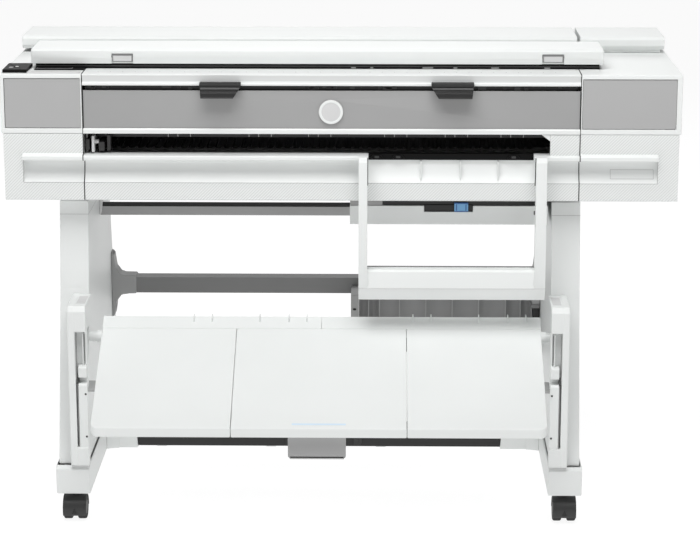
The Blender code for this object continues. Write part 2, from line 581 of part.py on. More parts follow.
def make_rollers():
    def journalled(radius, journal):
        return [(0.0, -0.5320), (journal, -0.5320), (journal, -0.5230), (radius, -0.5230), (radius, 0.4820),
                (journal, 0.4820), (journal, 0.4900), (0.0, 0.4900)]

    feed = turned("feed_roller", journalled(0.0110, 0.0060), (0.0, *FEED_ROLLER_AXIS), "X", "rubber")
    exit_roller = turned("exit_roller", journalled(0.0080, 0.0040), (0.0, *EXIT_ROLLER_AXIS), "X", "rubber", steps=12)
    spindle_profile = [(0.0, -0.5270), (0.0060, -0.5270), (0.0060, -0.5200), (0.0380, -0.5200), (0.0380, -0.4700),
                       (0.0500, -0.4700), (0.0500, -0.4660), (0.0110, -0.4660), (0.0110, 0.4300),
                       (0.0500, 0.4300), (0.0500, 0.4340), (0.0380, 0.4340), (0.0380, 0.4800), (0.0060, 0.4800),
                       (0.0060, 0.4880), (0.0, 0.4880)]
    spindle = turned("roll_spindle", spindle_profile, (0.0, *SPINDLE_AXIS), "X", "black_plastic")
    pivot("feed_roller_axis", 0.0, *FEED_ROLLER_AXIS, feed)
    pivot("exit_roller_axis", 0.0, *EXIT_ROLLER_AXIS, exit_roller)
    pivot("roll_spindle_axis", 0.0, *SPINDLE_AXIS, spindle)


def make_carriage():
    rail = [(0.2060, 0.8150), (0.2560, 0.8150), (0.2560, 0.8190), (0.2100, 0.8190), (0.2100, 0.8790),
            (0.2060, 0.8790)]
    across("carriage_rail", rail, -0.6850, 0.4840, "steel")
    carriage = block("carriage", (-0.6300, -0.5400), (0.0750, 0.1760), (0.7900, 0.8800), "black_plastic", bevel=0.003)
    fuse(carriage, block("carriage_shoe", (-0.6150, -0.5550), (0.1700, 0.2050), (0.8350, 0.8650), None))
    pivot("carriage_axis", -0.5850, 0.1900, 0.8500, carriage)
    pulley_x, pulley_depth = PULLEY_AXIS
    far_x = 0.4650
    outer_radius, inner_radius = PULLEY_RADIUS + 0.0018, PULLEY_RADIUS + 0.0004

    def loop(radius):
        quarter = [math.pi * step / 8 for step in range(9)]
        left = [(pulley_x - radius * math.sin(a), pulley_depth + radius * math.cos(a)) for a in quarter]
        right = [(far_x + radius * math.sin(a), pulley_depth - radius * math.cos(a)) for a in quarter]
        return left + right

    upright("carriage_belt", loop(outer_radius), 0.8890, 0.8960, "rubber", holes=[loop(inner_radius)])
    profile = [(0.0, 0.0), (0.0130, 0.0), (0.0130, 0.0020), (PULLEY_RADIUS, 0.0020), (PULLEY_RADIUS, 0.0110),
               (0.0130, 0.0110), (0.0130, 0.0130), (0.0, 0.0130)]
    pulley = turned("drive_pulley", profile, (pulley_x, pulley_depth, 0.8860), "Z", "steel")
    pivot("drive_pulley_axis", pulley_x, pulley_depth, 0.8860, pulley)


def make_services():
    block("ink_cartridges", (0.5050, 0.6780), (0.0160, 0.1400), (0.8320, 0.9200), "black_plastic", bevel=0.002)
    supply = block("power_supply", (0.5200, 0.6600), (0.1000, 0.4540), (0.6800, 0.7400), "stand_grey")
    left, right = INLET_SPAN
    low, high = INLET_HEIGHT
    outline = [(left, low), (right, low), (right, high - 0.005), (right - 0.005, high), (left + 0.005, high),
               (left, high - 0.005)]
    fuse(supply, frontal("power_inlet", outline, 0.4500, BODY_DEPTH - 0.0005, None))
    cut(supply, block("inlet_well", (left + 0.0025, right - 0.0025), (0.4420, 0.4700), (low + 0.0025, high - 0.0060),
                      None))
    for x, z in ((-0.0070, 0.0075), (0.0, 0.0120), (0.0070, 0.0075)):
        middle = (left + right) / 2 + x
        fuse(supply, block("inlet_pin", (middle - 0.0010, middle + 0.0010), (0.4400, 0.4560),
                           (low + z - 0.0020, low + z + 0.0020), None))


def main():
    for side, left in (("left", LEFT_LEG), ("right", RIGHT_LEG)):
        make_leg(side + "_leg", left)
        make_foot(side + "_foot", left - FOOT_EXTRA)
    make_crossbars()
    for side, x in CASTER_SIDES.items():
        for end, depth in CASTER_DEPTHS.items():
            make_caster(f"{side}_{end}_caster", x, depth, CASTER_WAYS[end])
    make_tray_arm("left_tray_arm", -0.5620, -0.5235, -0.5235)
    make_tray_arm("right_tray_arm", 0.4340, 0.4720, 0.4340)
    make_lever("left_tray_lever", -0.5445, -0.5110)
    make_lever("right_tray_lever", 0.4215, 0.4550)
    make_tray()
    make_chassis()
    make_upper_housing("left_upper_housing", -UPPER_HALF_WIDTH, LEFT_SEAM - SEAM_GAP)
    make_upper_housing("right_upper_housing", UPPER_HALF_WIDTH, RIGHT_SEAM + SEAM_GAP)
    make_lower_housings()
    make_fascia()
    make_front_panels()
    make_rear_covers()
    make_scanner()
    make_scan_lid()
    make_control_panel()
    make_sheet_feeder()
    make_platen()
    make_rollers()
    make_carriage()
    make_services()


main()
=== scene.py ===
import json
import math
import bmesh
import bpy
import numpy as np
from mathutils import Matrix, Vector


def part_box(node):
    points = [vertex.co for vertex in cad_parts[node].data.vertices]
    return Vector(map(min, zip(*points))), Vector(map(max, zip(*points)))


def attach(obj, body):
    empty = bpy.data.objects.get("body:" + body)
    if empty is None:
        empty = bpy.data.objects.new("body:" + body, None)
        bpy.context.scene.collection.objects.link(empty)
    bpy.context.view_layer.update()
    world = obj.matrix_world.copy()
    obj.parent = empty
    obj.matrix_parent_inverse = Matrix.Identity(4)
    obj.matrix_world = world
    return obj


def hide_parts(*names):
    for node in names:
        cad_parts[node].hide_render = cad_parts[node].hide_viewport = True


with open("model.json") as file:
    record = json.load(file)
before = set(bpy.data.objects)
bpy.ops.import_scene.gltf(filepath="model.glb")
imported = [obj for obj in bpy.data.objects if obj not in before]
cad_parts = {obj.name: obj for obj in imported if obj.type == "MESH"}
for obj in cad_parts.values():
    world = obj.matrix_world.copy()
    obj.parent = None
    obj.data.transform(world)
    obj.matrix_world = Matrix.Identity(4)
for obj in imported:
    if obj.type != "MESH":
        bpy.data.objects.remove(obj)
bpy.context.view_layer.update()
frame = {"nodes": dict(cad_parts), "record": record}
bodyOf = {node: body for body, nodes in frame["record"]["behaviour"]["bodies"].items() for node in nodes}
dressed = set()  # CAD nodes that already have their finish or a piece that stands for them
print("frame loaded:", len(frame["nodes"]), "nodes")


def span(node):
    low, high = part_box(node)
    return np.array(low), np.array(high)


# shader sockets as numbers

class Wave:
    # wraps a socket: sums, products and the like add the Math node they stand for
    def __init__(self, tree, socket):
        self.tree = tree
        self.socket = socket

    def maths(self, operation, *terms, swap=False):
        node = self.tree.nodes.new("ShaderNodeMath")
        node.operation = operation
        for place, term in enumerate((*terms, self) if swap else (self, *terms)):
            if isinstance(term, Wave):
                self.tree.links.new(term.socket, node.inputs[place])
            else:
                node.inputs[place].default_value = term
        return Wave(self.tree, node.outputs[0])

    def __add__(self, other):
        return self.maths("ADD", other)

    def __radd__(self, other):
        return self.maths("ADD", other, swap=True)

    def __sub__(self, other):
        return self.maths("SUBTRACT", other)

    def __rsub__(self, other):
        return self.maths("SUBTRACT", other, swap=True)

    def __mul__(self, other):
        return self.maths("MULTIPLY", other)

    def __rmul__(self, other):
        return self.maths("MULTIPLY", other, swap=True)

    def __truediv__(self, other):
        return self.maths("DIVIDE", other)

    def above(self, limit):
        return self.maths("GREATER_THAN", limit)

    def below(self, limit):
        return self.maths("LESS_THAN", limit)

    def pingpong(self, size):
        return self.maths("PINGPONG", size)


class Board:
    # a node tree to which nodes are added by type, settings and sockets
    def __init__(self, tree):
        self.tree = tree

    def node(self, kind, settings=None, sockets=None, output=0):
        made = self.tree.nodes.new(kind)
        for key, value in (settings or {}).items():
            setattr(made, key, value)
        for key, value in (sockets or {}).items():
            if isinstance(value, Wave):
                self.tree.links.new(value.socket, made.inputs[key])
            else:
                made.inputs[key].default_value = value
        return Wave(self.tree, made.outputs[output])


class Finish(Board):
    # one material, with a Principled shader that its recipe feeds
    def __init__(self, name, **constants):
        self.material = bpy.data.materials.new(name)
        self.material.use_nodes = True
        super().__init__(self.material.node_tree)
        self.shader = self.tree.nodes["Principled BSDF"]
        for socket, value in constants.items():
            self.shader.inputs[socket.replace("_", " ")].default_value = value
        self.place = self.node("ShaderNodeTexCoord", output="Object")

    def noise(self, scale, detail=3.0, roughness=0.5, stretch=(1, 1, 1)):
        vector = self.place
        if stretch != (1, 1, 1):
            vector = self.node("ShaderNodeVectorMath", {"operation": "MULTIPLY"}, {0: self.place, 1: stretch})
        sockets = {"Vector": vector, "Scale": scale, "Detail": detail, "Roughness": roughness}
        return self.node("ShaderNodeTexNoise", sockets=sockets)

    def axes(self):
        made = self.tree.nodes.new("ShaderNodeSeparateXYZ")
        self.tree.links.new(self.place.socket, made.inputs[0])
        return [Wave(self.tree, output) for output in made.outputs]

    def blend(self, mask, first, second):
        sockets = {0: mask, 6: (*first, 1) if not isinstance(first, Wave) else first,
                   7: (*second, 1) if not isinstance(second, Wave) else second}
        return self.node("ShaderNodeMix", {"data_type": "RGBA"}, sockets, output=2)

    def bump(self, height, distance, strength=1.0):
        normal = self.node("ShaderNodeBump", sockets={"Height": height, "Distance": distance,
                                                      "Strength": strength})
        self.feed("Normal", normal)

    def feed(self, socket, value):
        self.tree.links.new(value.socket, self.shader.inputs[socket])


def tone(level, tint=0.0):
    # linear colour of a display grey from 0 to 255; tint takes a share from red and half that from blue
    linear = ((level / 255 + 0.055) / 1.055) ** 2.4
    return (linear * (1 - tint), linear, linear * (1 - 0.5 * tint))


# moulded and painted surfaces: two greys mixed by slow noise, a fine grain for the bump and the gloss
surfaces = {
    "shellWhite": {"dark": tone(228, 0.022), "light": tone(234, 0.020), "rough": (0.42, 0.52), "grain": 1500,
                   "depth": 0.00004},
    "trayWhite": {"dark": tone(230, 0.024), "light": tone(235, 0.022), "rough": (0.50, 0.62), "grain": 1500,
                  "depth": 0.00003},
    "standPaint": {"dark": tone(226, 0.022), "light": tone(232, 0.020), "rough": (0.40, 0.50), "grain": 900,
                   "depth": 0.00006},
    "panelGrey": {"dark": tone(168), "light": tone(173), "rough": (0.42, 0.52), "grain": 1800,
                  "depth": 0.00003},
    "centreGrey": {"dark": tone(153), "light": tone(159), "rough": (0.42, 0.52), "grain": 1800,
                   "depth": 0.00003},
    "barGrey": {"dark": tone(124), "light": tone(134), "rough": (0.38, 0.50), "grain": 900, "depth": 0.00006},
    "deflectorGrey": {"dark": tone(140), "light": tone(150), "rough": (0.45, 0.55), "grain": 1500,
                      "depth": 0.00004},
    "paleGrey": {"dark": tone(203), "light": tone(210), "rough": (0.42, 0.52), "grain": 1800,
                 "depth": 0.00003},
    # the next grey is painted shade for the ledge's leaning face
    "paintedShadeGrey": {"dark": tone(208, 0.016), "light": tone(213, 0.016), "rough": (0.45, 0.55), "grain": 1500,
                 "depth": 0.00003},
    "leverGrey": {"dark": tone(158), "light": tone(170), "rough": (0.45, 0.55), "grain": 1500,
                  "depth": 0.00004},
    "satinBlack": {"dark": tone(22), "light": tone(29), "rough": (0.38, 0.50), "grain": 1200,
                   "depth": 0.00005},
    "guideBlack": {"dark": tone(14), "light": tone(22), "rough": (0.32, 0.45), "grain": 1200,
                   "depth": 0.00004},
    "casterGrey": {"dark": tone(42), "light": tone(54), "rough": (0.42, 0.55), "grain": 1200,
                   "depth": 0.00006},
    "rubberBlack": {"dark": tone(26), "light": tone(36), "rough": (0.70, 0.85), "grain": 700,
                    "depth": 0.00010},
    "latchBlue": {"dark": (0.155, 0.375, 0.650), "light": (0.190, 0.420, 0.700), "rough": (0.28, 0.38),
                  "grain": 1500, "depth": 0.00003},
    "latchDeep": {"dark": (0.020, 0.095, 0.300), "light": (0.030, 0.120, 0.340), "rough": (0.30, 0.40),
                  "grain": 1500, "depth": 0.00003},
    "markBlue": {"dark": (0.640, 0.765, 0.890), "light": (0.680, 0.795, 0.905), "rough": (0.45, 0.55),
                 "grain": 1500, "depth": 0.00002},
    "seamBlack": {"dark": tone(30), "light": tone(38), "rough": (0.60, 0.75), "grain": 800, "depth": 0.00004},
}


def coatSurface(finish, look):
    slow = finish.noise(6.0, 2.0)
    fine = finish.noise(look["grain"], 2.0)
    finish.feed("Base Color", finish.blend(slow, look["dark"], look["light"]))
    low, high = look["rough"]
    finish.feed("Roughness", low + (high - low) * fine)
    return fine


def surface(name):
    look = surfaces[name]
    finish = Finish(name)
    finish.bump(coatSurface(finish, look), look["depth"])
    return finish.material


hatch = {"pitch": 0.0064, "line": 0.42, "top": 0.8112, "near": 0.0007, "shade": tone(214, 0.022)}


def hatchedShell():
    # ridges rise to the right: a triangle wave of (x - z) over the pitch, only on the flat front plane
    look = surfaces["shellWhite"]
    finish = Finish("hatchedShell")
    grain = finish.noise(look["grain"], 2.0)
    x, y, z = finish.axes()
    wave = (x - z).pingpong(hatch["pitch"] / 2) / (hatch["pitch"] / 2)
    frontPlane = span("front_fascia")[0][1] + 0.012
    band = y.below(frontPlane + hatch["near"]) * y.above(frontPlane - hatch["near"]) * z.below(hatch["top"])
    line = wave.below(hatch["line"]) * band
    slow = finish.noise(6.0, 2.0)
    plain = finish.blend(slow, look["dark"], look["light"])
    finish.feed("Base Color", finish.blend(line, plain, hatch["shade"]))
    low, high = look["rough"]
    finish.feed("Roughness", low + (high - low) * grain)
    finish.bump(grain * 0.2 + wave * band, 0.0002, 0.6)
    return finish.material


dots = {"pitch": 0.0026, "depth": 0.00012}


def dottedTray():
    # rows of small dimples: the product of two triangle waves turned by 45 degrees
    look = surfaces["trayWhite"]
    finish = Finish("dottedTray")
    grain = coatSurface(finish, look)
    x, y = finish.axes()[:2]
    half = dots["pitch"] / 2
    across = (x + y * 1.15).pingpong(half) / half
    along = (x - y * 1.15).pingpong(half) / half
    finish.bump(across * along + 0.15 * grain, dots["depth"], 0.7)
    return finish.material


def brushedSteel():
    finish = Finish("zincSteel", Metallic=1.0)
    streak = finish.noise(60, 4.0, 0.6, (0.05, 1, 12))
    finish.feed("Base Color", finish.blend(streak, tone(150), tone(186)))
    finish.feed("Roughness", 0.28 + 0.18 * streak)
    finish.bump(streak, 0.00005)
    return finish.material


def deckBlack():
    finish = Finish("deckBlack", Specular_IOR_Level=0.12)
    smear = finish.noise(18, 3.0)
    finish.feed("Base Color", finish.blend(smear, tone(10), tone(15)))
    finish.feed("Roughness", 0.45 + 0.15 * smear)
    return finish.material


def clearGlass():
    finish = Finish("bedGlass", IOR=1.5, Transmission_Weight=0.9)
    haze = finish.noise(30, 3.0)
    finish.feed("Base Color", finish.blend(haze, (0.80, 0.87, 0.86), (0.86, 0.92, 0.91)))
    finish.feed("Roughness", 0.03 + 0.04 * haze)
    return finish.material


shades = {name: surface(name) for name in surfaces}
shades["hatchedShell"] = hatchedShell()
shades["dottedTray"] = dottedTray()
shades["zincSteel"] = brushedSteel()
shades["bedGlass"] = clearGlass()
shades["deckBlack"] = deckBlack()
print("materials made:", len(shades))


# shapes: each returns its points and faces as arrays

def rounded(outline, radius, steps=3):
    # every corner becomes an arc: its centre lies on the corner's bisector, at radius / sin(half the angle)
    points = np.array(outline, float)
    radii = np.zeros(len(points)) + radius
    area = np.sum(points[:, 0] * np.roll(points[:, 1], -1) - np.roll(points[:, 0], -1) * points[:, 1])
    if area < 0:
        points = points[::-1]
        radii = radii[::-1]
    back = np.roll(points, 1, 0) - points
    ahead = np.roll(points, -1, 0) - points
    backLength = np.linalg.norm(back, axis=1)
    aheadLength = np.linalg.norm(ahead, axis=1)
    back /= backLength[:, None]
    ahead /= aheadLength[:, None]
    half = np.arccos(np.clip((back * ahead).sum(1), -1, 1)) / 2
    tangent = np.minimum(radii / np.tan(half), 0.48 * np.minimum(backLength, aheadLength))
    reach = tangent * np.tan(half)
    bisector = back + ahead
    bisector /= np.maximum(np.linalg.norm(bisector, axis=1), 1e-9)[:, None]
    centre = points + bisector * (reach / np.sin(half))[:, None]
    begin = points + back * tangent[:, None] - centre
    end = points + ahead * tangent[:, None] - centre
    start = np.arctan2(begin[:, 1], begin[:, 0])
    sweep = (np.arctan2(end[:, 1], end[:, 0]) - start + np.pi) % (2 * np.pi) - np.pi
    angles = start[:, None] + sweep[:, None] * np.linspace(0, 1, steps + 1)[None]
    arcs = centre[:, None] + reach[:, None, None] * np.stack([np.cos(angles), np.sin(angles)], -1)
    return arcs.reshape(-1, 2)


def ringFaces(rings, count, caps=True):
    # quads between neighbouring rings, then the two end rings as caps
    ring = np.arange(rings - 1)[:, None] * count
    step = np.arange(count)[None]
    turn = (step + 1) % count
    quads = np.stack([ring + step, ring + turn, ring + count + turn, ring + count + step], -1).reshape(-1, 4)
    faces = quads.tolist()
    if caps:
        faces.append(list(range(count))[::-1])
        faces.append(list(range((rings - 1) * count, rings * count)))
    return faces


turnTo = {"X": lambda u, v, w: (w, u, v), "Y": lambda u, v, w: (u, w, v), "Z": lambda u, v, w: (u, v, w)}


def prism(outline, start, end, axis="X", corner=0.002, edge=0.0012, steps=3):
    # a rounded outline carried from start to end; near each end it shrinks by edge * (1 - cos a) as it
    # moves edge * (1 - sin a) towards the end, which rounds the rim
    loop = rounded(outline, np.maximum(corner, edge * 1.02), steps)
    nextEdge = np.roll(loop, -1, 0) - loop
    lengths = np.maximum(np.linalg.norm(nextEdge, axis=1), 1e-12)
    edgeNormal = np.stack([nextEdge[:, 1], -nextEdge[:, 0]], 1) / lengths[:, None]
    normal = edgeNormal + np.roll(edgeNormal, 1, 0)
    normal /= np.maximum(np.linalg.norm(normal, axis=1), 1e-9)[:, None]
    angle = np.linspace(np.pi / 2, 0, steps + 1)
    inset = edge * (1 - np.cos(angle))
    offset = edge * (1 - np.sin(angle))
    insets = np.concatenate([inset, inset[::-1]])
    places = np.concatenate([start + offset, end - offset[::-1]])
    flat = loop[None] - normal[None] * insets[:, None, None]
    w = np.broadcast_to(places[:, None], flat.shape[:2])
    points = np.stack(turnTo[axis](flat[..., 0], flat[..., 1], w), -1).reshape(-1, 3)
    faces = ringFaces(len(places), len(loop))
    if axis == "Y":
        faces = [face[::-1] for face in faces]
    return points, faces


def slab(low, high, corner=0.002, edge=0.0012, axis="Y", steps=3):
    # a rounded rectangle between two corners, carried along an axis
    u, v, w = {"X": (1, 2, 0), "Y": (0, 2, 1), "Z": (0, 1, 2)}[axis]
    outline = [(low[u], low[v]), (high[u], low[v]), (high[u], high[v]), (low[u], high[v])]
    return prism(outline, low[w], high[w], axis, corner, edge, steps)


def lathe(profile, centre, axis="X", count=32):
    # (radius, along) turned round an axis through the centre: u = r cos a, v = r sin a
    radius, along = np.array(profile, float).T
    angle = np.linspace(0, 2 * np.pi, count, endpoint=False)
    u = radius[:, None] * np.cos(angle)[None]
    v = radius[:, None] * np.sin(angle)[None]
    w = np.broadcast_to(along[:, None], u.shape)
    points = np.stack(turnTo[axis](u, v, w), -1).reshape(-1, 3) + np.array(centre)
    faces = ringFaces(len(profile), count)
    if axis == "Y":
        faces = [face[::-1] for face in faces]
    return points, faces


def sheet(function, us, vs):
    # a surface from two parameters: function(u, v) gives x, y and z for whole arrays
    u, v = np.meshgrid(us, vs, indexing="ij")
    points = np.stack(function(u, v), -1).reshape(-1, 3)
    row = np.arange(len(us) - 1)[:, None] * len(vs)
    step = np.arange(len(vs) - 1)[None]
    quads = np.stack([row + step, row + len(vs) + step, row + len(vs) + step + 1, row + step + 1], -1)
    return points, quads.reshape(-1, 4).tolist()


faceY = span("front_fascia")[0][1] + 0.012  # the body's front plane


def cuboid(x, depth, z, corner=0.0008, edge=0.0006, axis="Y", steps=2):
    # a rounded block between spans of x, of depth behind the front plane, and of z
    low = (x[0], faceY + depth[0], z[0])
    high = (x[1], faceY + depth[1], z[1])
    return slab(low, high, corner, edge, axis, steps)


def across(outline, x, corner=0.0010, edge=0.0008, steps=3):
    # a profile in (depth, z) carried from one x to another
    return prism([(faceY + depth, z) for depth, z in outline], x[0], x[1], "X", corner, edge, steps)


def frontal(outline, depth, corner=0.0010, edge=0.0008, steps=3):
    # an outline in (x, z) carried from one depth to another
    return prism(outline, faceY + depth[0], faceY + depth[1], "Y", corner, edge, steps)


def turnedX(profile, depth, z, count=32):
    return lathe(profile, (0, faceY + depth, z), "X", count)


def knob(x, depth, z, radius, length, count=20):
    # a small disc on a front face, its rim rounded, standing length proud of the depth
    rim = min(radius, length) * 0.4
    profile = [(0.00005, 0), (radius, 0), (radius, -length + rim), (radius - rim, -length),
               (0.00005, -length)]
    return lathe(profile, (x, faceY + depth, z), "Y", count)


def smooth(t):
    # 3 t^2 - 2 t^3 between 0 and 1
    t = np.clip(t, 0, 1)
    return t * t * (3 - 2 * t)


def ribbon(path, centre, width, lift):
    # a thin strip along a path in the Y-Z plane: half its width to each side in X,
    # raised along the path's normal
    path = np.array(path, float) + (faceY, 0)
    along = np.gradient(path, axis=0)
    along /= np.linalg.norm(along, axis=1)[:, None]
    normal = np.stack([-along[:, 1], along[:, 0]], 1)
    corners = ((-1, -1), (1, -1), (1, 1), (-1, 1))
    rings = np.stack([np.stack([np.full(len(path), centre + side * width / 2),
                                *(path + normal * up * lift).T], -1)
                      for side, up in corners], 1)
    return rings.reshape(-1, 3), ringFaces(len(path), 4)


def together(shapes):
    points, faces, count = [], [], 0
    for shapePoints, shapeFaces in shapes:
        points.append(shapePoints)
        faces += [[corner + count for corner in face] for face in shapeFaces]
        count += len(shapePoints)
    return np.concatenate(points), faces


def finishMesh(obj, angle):
    obj.data.shade_smooth()
    obj.data.set_sharp_from_angle(angle=math.radians(angle))


def piece(name, shapes, shade, body="root", node=None, angle=40, extra=()):
    # puts the shapes into one object that rides on a body and may stand for CAD nodes
    points, faces = together(shapes)
    mesh = bpy.data.meshes.new(name)
    mesh.from_pydata(points.tolist(), [], faces)
    mesh.validate()
    work = bmesh.new()
    work.from_mesh(mesh)
    bmesh.ops.recalc_face_normals(work, faces=work.faces)
    work.to_mesh(mesh)
    work.free()
    obj = bpy.data.objects.new(name, mesh)
    bpy.context.collection.objects.link(obj)
    mesh.materials.append(shades[shade])
    finishMesh(obj, angle)
    weighted = obj.modifiers.new("flatFaces", "WEIGHTED_NORMAL")
    weighted.keep_sharp = True
    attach(obj, bodyOf[node] if node else body)
    for stood in ([node] if node else []) + list(extra):
        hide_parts(stood)
        dressed.add(stood)
    return obj


def softened(node, shade, width=0.0012, segments=2, angle=28):
    # a copy of a CAD node with its flat faces made whole and its edges rounded
    mesh = frame["nodes"][node].data.copy()
    mesh.name = node + "Soft"
    work = bmesh.new()
    work.from_mesh(mesh)
    bmesh.ops.remove_doubles(work, verts=work.verts, dist=0.00002)
    bmesh.ops.dissolve_limit(work, angle_limit=math.radians(1), verts=work.verts, edges=work.edges)
    work.to_mesh(mesh)
    work.free()
    mesh.materials.clear()
    mesh.materials.append(shades[shade])
    obj = bpy.data.objects.new(node + "Soft", mesh)
    bpy.context.collection.objects.link(obj)
    finishMesh(obj, angle)
    bevel = obj.modifiers.new("softEdges", "BEVEL")
    bevel.width = width
    bevel.segments = segments
    bevel.limit_method = "ANGLE"
    bevel.angle_limit = math.radians(angle)
    bevel.harden_normals = True
    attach(obj, bodyOf[node])
    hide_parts(node)
    dressed.add(node)
    return obj


# the body's shells, straight from their CAD shapes

softShells = {
    "left_upper_housing": ("shellWhite", 0.0015), "right_upper_housing": ("shellWhite", 0.0015),
    "left_lower_housing": ("hatchedShell", 0.0010), "right_lower_housing": ("hatchedShell", 0.0010),
    "front_fascia": ("hatchedShell", 0.0010), "scan_bed": ("shellWhite", 0.0015),
    "scan_lid": ("shellWhite", 0.0015),
    "roll_cover": ("shellWhite", 0.0015), "rear_right_housing": ("shellWhite", 0.0015),
    "left_front_panel": ("panelGrey", 0.0006), "ink_door": ("panelGrey", 0.0006),
    "sheet_tray": ("shellWhite", 0.0008), "sheet_frame": ("shellWhite", 0.0020),
    "left_leg": ("standPaint", 0.0018), "right_leg": ("standPaint", 0.0018),
    "left_foot": ("standPaint", 0.0014), "right_foot": ("standPaint", 0.0014),
    "upper_crossbar": ("leverGrey", 0.0015), "rear_crossbar": ("barGrey", 0.0015),
    "scanner_base": ("deckBlack", 0.0008), "control_panel": ("deckBlack", 0.0006),
    "power_button": ("panelGrey", 0.0004), "left_tray_lever": ("leverGrey", 0.0010),
    "right_tray_lever": ("leverGrey", 0.0010), "tray_strip_left": ("trayWhite", 0.0006),
    "tray_strip_right": ("trayWhite", 0.0006), "left_lid_latch": ("deflectorGrey", 0.0010),
    "right_lid_latch": ("deflectorGrey", 0.0010), "sheet_stop": ("latchBlue", 0.0006),
    "centre_front_panel": ("centreGrey", 0.0006), "platen": ("guideBlack", 0.0003),
    "carriage": ("satinBlack", 0.0020), "power_supply": ("barGrey", 0.0012),
    "ink_cartridges": ("satinBlack", 0.0015),
}
for node, (shade, width) in softShells.items():
    softened(node, shade, width)
print("shells softened:", len(softShells))


# body front: seams, panel edges, ledge, badge disc and handles

seam = {"x": (-0.530, 0.491), "width": 0.0020, "lift": 0.0004}
seamPath = [
    (0.074, 0.9366), (0.050, 0.9366), (0.004, 0.9366), (0.001, 0.9358), (0.0, 0.9340), (0.0, 0.9000),
    (0.0, 0.8300),
    (0.0, 0.8130), (0.0, 0.7900), (0.0, 0.7725), (-0.005, 0.7706), (-0.010, 0.7690), (-0.012, 0.7668),
    (-0.012, 0.7606), (-0.010, 0.7586), (0.004, 0.7581), (0.0155, 0.7576), (0.0172, 0.7540), (0.0175, 0.7480),
    (0.0140, 0.7320), (0.0070, 0.7180), (0.0, 0.7105), (0.0, 0.6900), (0.0, 0.6740),
]


def makeSeams():
    shapes = [ribbon(seamPath, x, seam["width"], seam["lift"]) for x in seam["x"]]
    piece("bodySeams", shapes, "seamBlack", angle=60)


panelBacks = {"left": ((-0.6904, -0.5339), "left_upper_housing"),
              "right": ((0.4944, 0.6874), "right_upper_housing")}


def makePanelBacks():
    for side, (x, node) in panelBacks.items():
        low = 0.8236 if side == "left" else 0.8330  # the ink door's foot swings in below this
        shapes = [cuboid(x, (0.0048, 0.0056), (low, 0.9270), 0.0006, 0.0003)]
        piece(side + "PanelBack", shapes, "seamBlack", bodyOf[node])


rim = {"x": (-0.5296, 0.4906), "low": 0.8130, "high": 0.8233}


def makeCentreRim():
    # the white moulding along the grey panel's foot, and above it a painted shadow line under the panel's
    # edge
    outline = [(0.004, rim["low"]), (-0.0012, rim["low"]), (-0.0016, rim["high"] - 0.002),
               (0.0004, rim["high"] + 0.0008),
               (0.004, rim["high"] + 0.0008)]
    piece("centrePanelRim", [across(outline, rim["x"], 0.0010, 0.0004)], "shellWhite")
    shadow = cuboid(rim["x"], (0.0012, 0.0022), (rim["high"] + 0.0006, rim["high"] + 0.0018), 0.0003, 0.0002)
    piece("centrePanelShadowLine", [shadow], "deflectorGrey")
    side = cuboid((rim["x"][0], rim["x"][0] + 0.0016), (0.0010, 0.0024), (0.8240, 0.9024), 0.0003, 0.0002)
    other = cuboid((rim["x"][1] - 0.0012, rim["x"][1]), (0.0010, 0.0024), (0.8240, 0.9024), 0.0003, 0.0002)
    piece("centrePanelEnds", [side, other], "seamBlack")


pocket = {"x": (-0.6553, 0.6517), "z": 0.7103, "top": 0.7584}


def makePocketLines():
    # the thin shadow line round the pocket under the lip
    left, right = pocket["x"]
    z, top = pocket["z"], pocket["top"]
    shapes = [cuboid((left, right), (-0.0003, 0.0008), (z - 0.0004, z + 0.0005), 0.0003, 0.0002)]
    for x in pocket["x"]:
        shapes.append(cuboid((x - 0.0006, x + 0.0006), (-0.0003, 0.0006), (z, top), 0.0003, 0.0002))
    piece("pocketLines", shapes, "panelGrey")
    plate = [cuboid((0.5555, 0.6445), (0.0073, 0.0080), (0.7192, 0.7199), 0.0003, 0.0002),
             cuboid((0.5555, 0.6445), (0.0147, 0.0154), (0.7371, 0.7378), 0.0003, 0.0002)]
    slope = [(0.0073, 0.7195), (0.0136, 0.7320), (0.0148, 0.7375), (0.0156, 0.7375), (0.0144, 0.7320),
             (0.0081, 0.7195)]
    plate += [across(slope, (x, x + 0.0008), 0.0002, 0.0001) for x in (0.5553, 0.6439)]
    piece("blankPlateLines", plate, "panelGrey")


badge = {"x": -0.0200, "z": 0.8590, "radius": 0.0250, "face": -0.0008}


def makeBadge():
    radius = badge["radius"]
    profile = [(0.0001, 0.0), (radius, 0.0), (radius, -0.0009), (radius - 0.0007, -0.0015),
               (radius - 0.0022, -0.0015),
               (radius - 0.0026, -0.0011), (radius - 0.0060, -0.0012), (radius * 0.4, -0.0016),
               (0.0001, -0.0017)]
    disc = lathe(profile, (badge["x"], faceY + badge["face"], badge["z"]), "Y", 64)
    piece("panelDisc", [disc], "paleGrey", angle=30)
    ring = [(radius - 0.0055, -0.0008), (radius - 0.0008, -0.0008), (radius - 0.0008, -0.0016),
            (radius - 0.0016, -0.0019),
            (radius - 0.0047, -0.0019), (radius - 0.0055, -0.0016)]
    shapes = [lathe(ring + ring[:1], (badge["x"], faceY + badge["face"], badge["z"]), "Y", 64)]
    piece("panelDiscRing", shapes, "trayWhite", angle=30)


ledge = {"x": (-0.5294, 0.4904), "tickStep": 0.0254, "tickSize": (0.0007, 0.0030)}


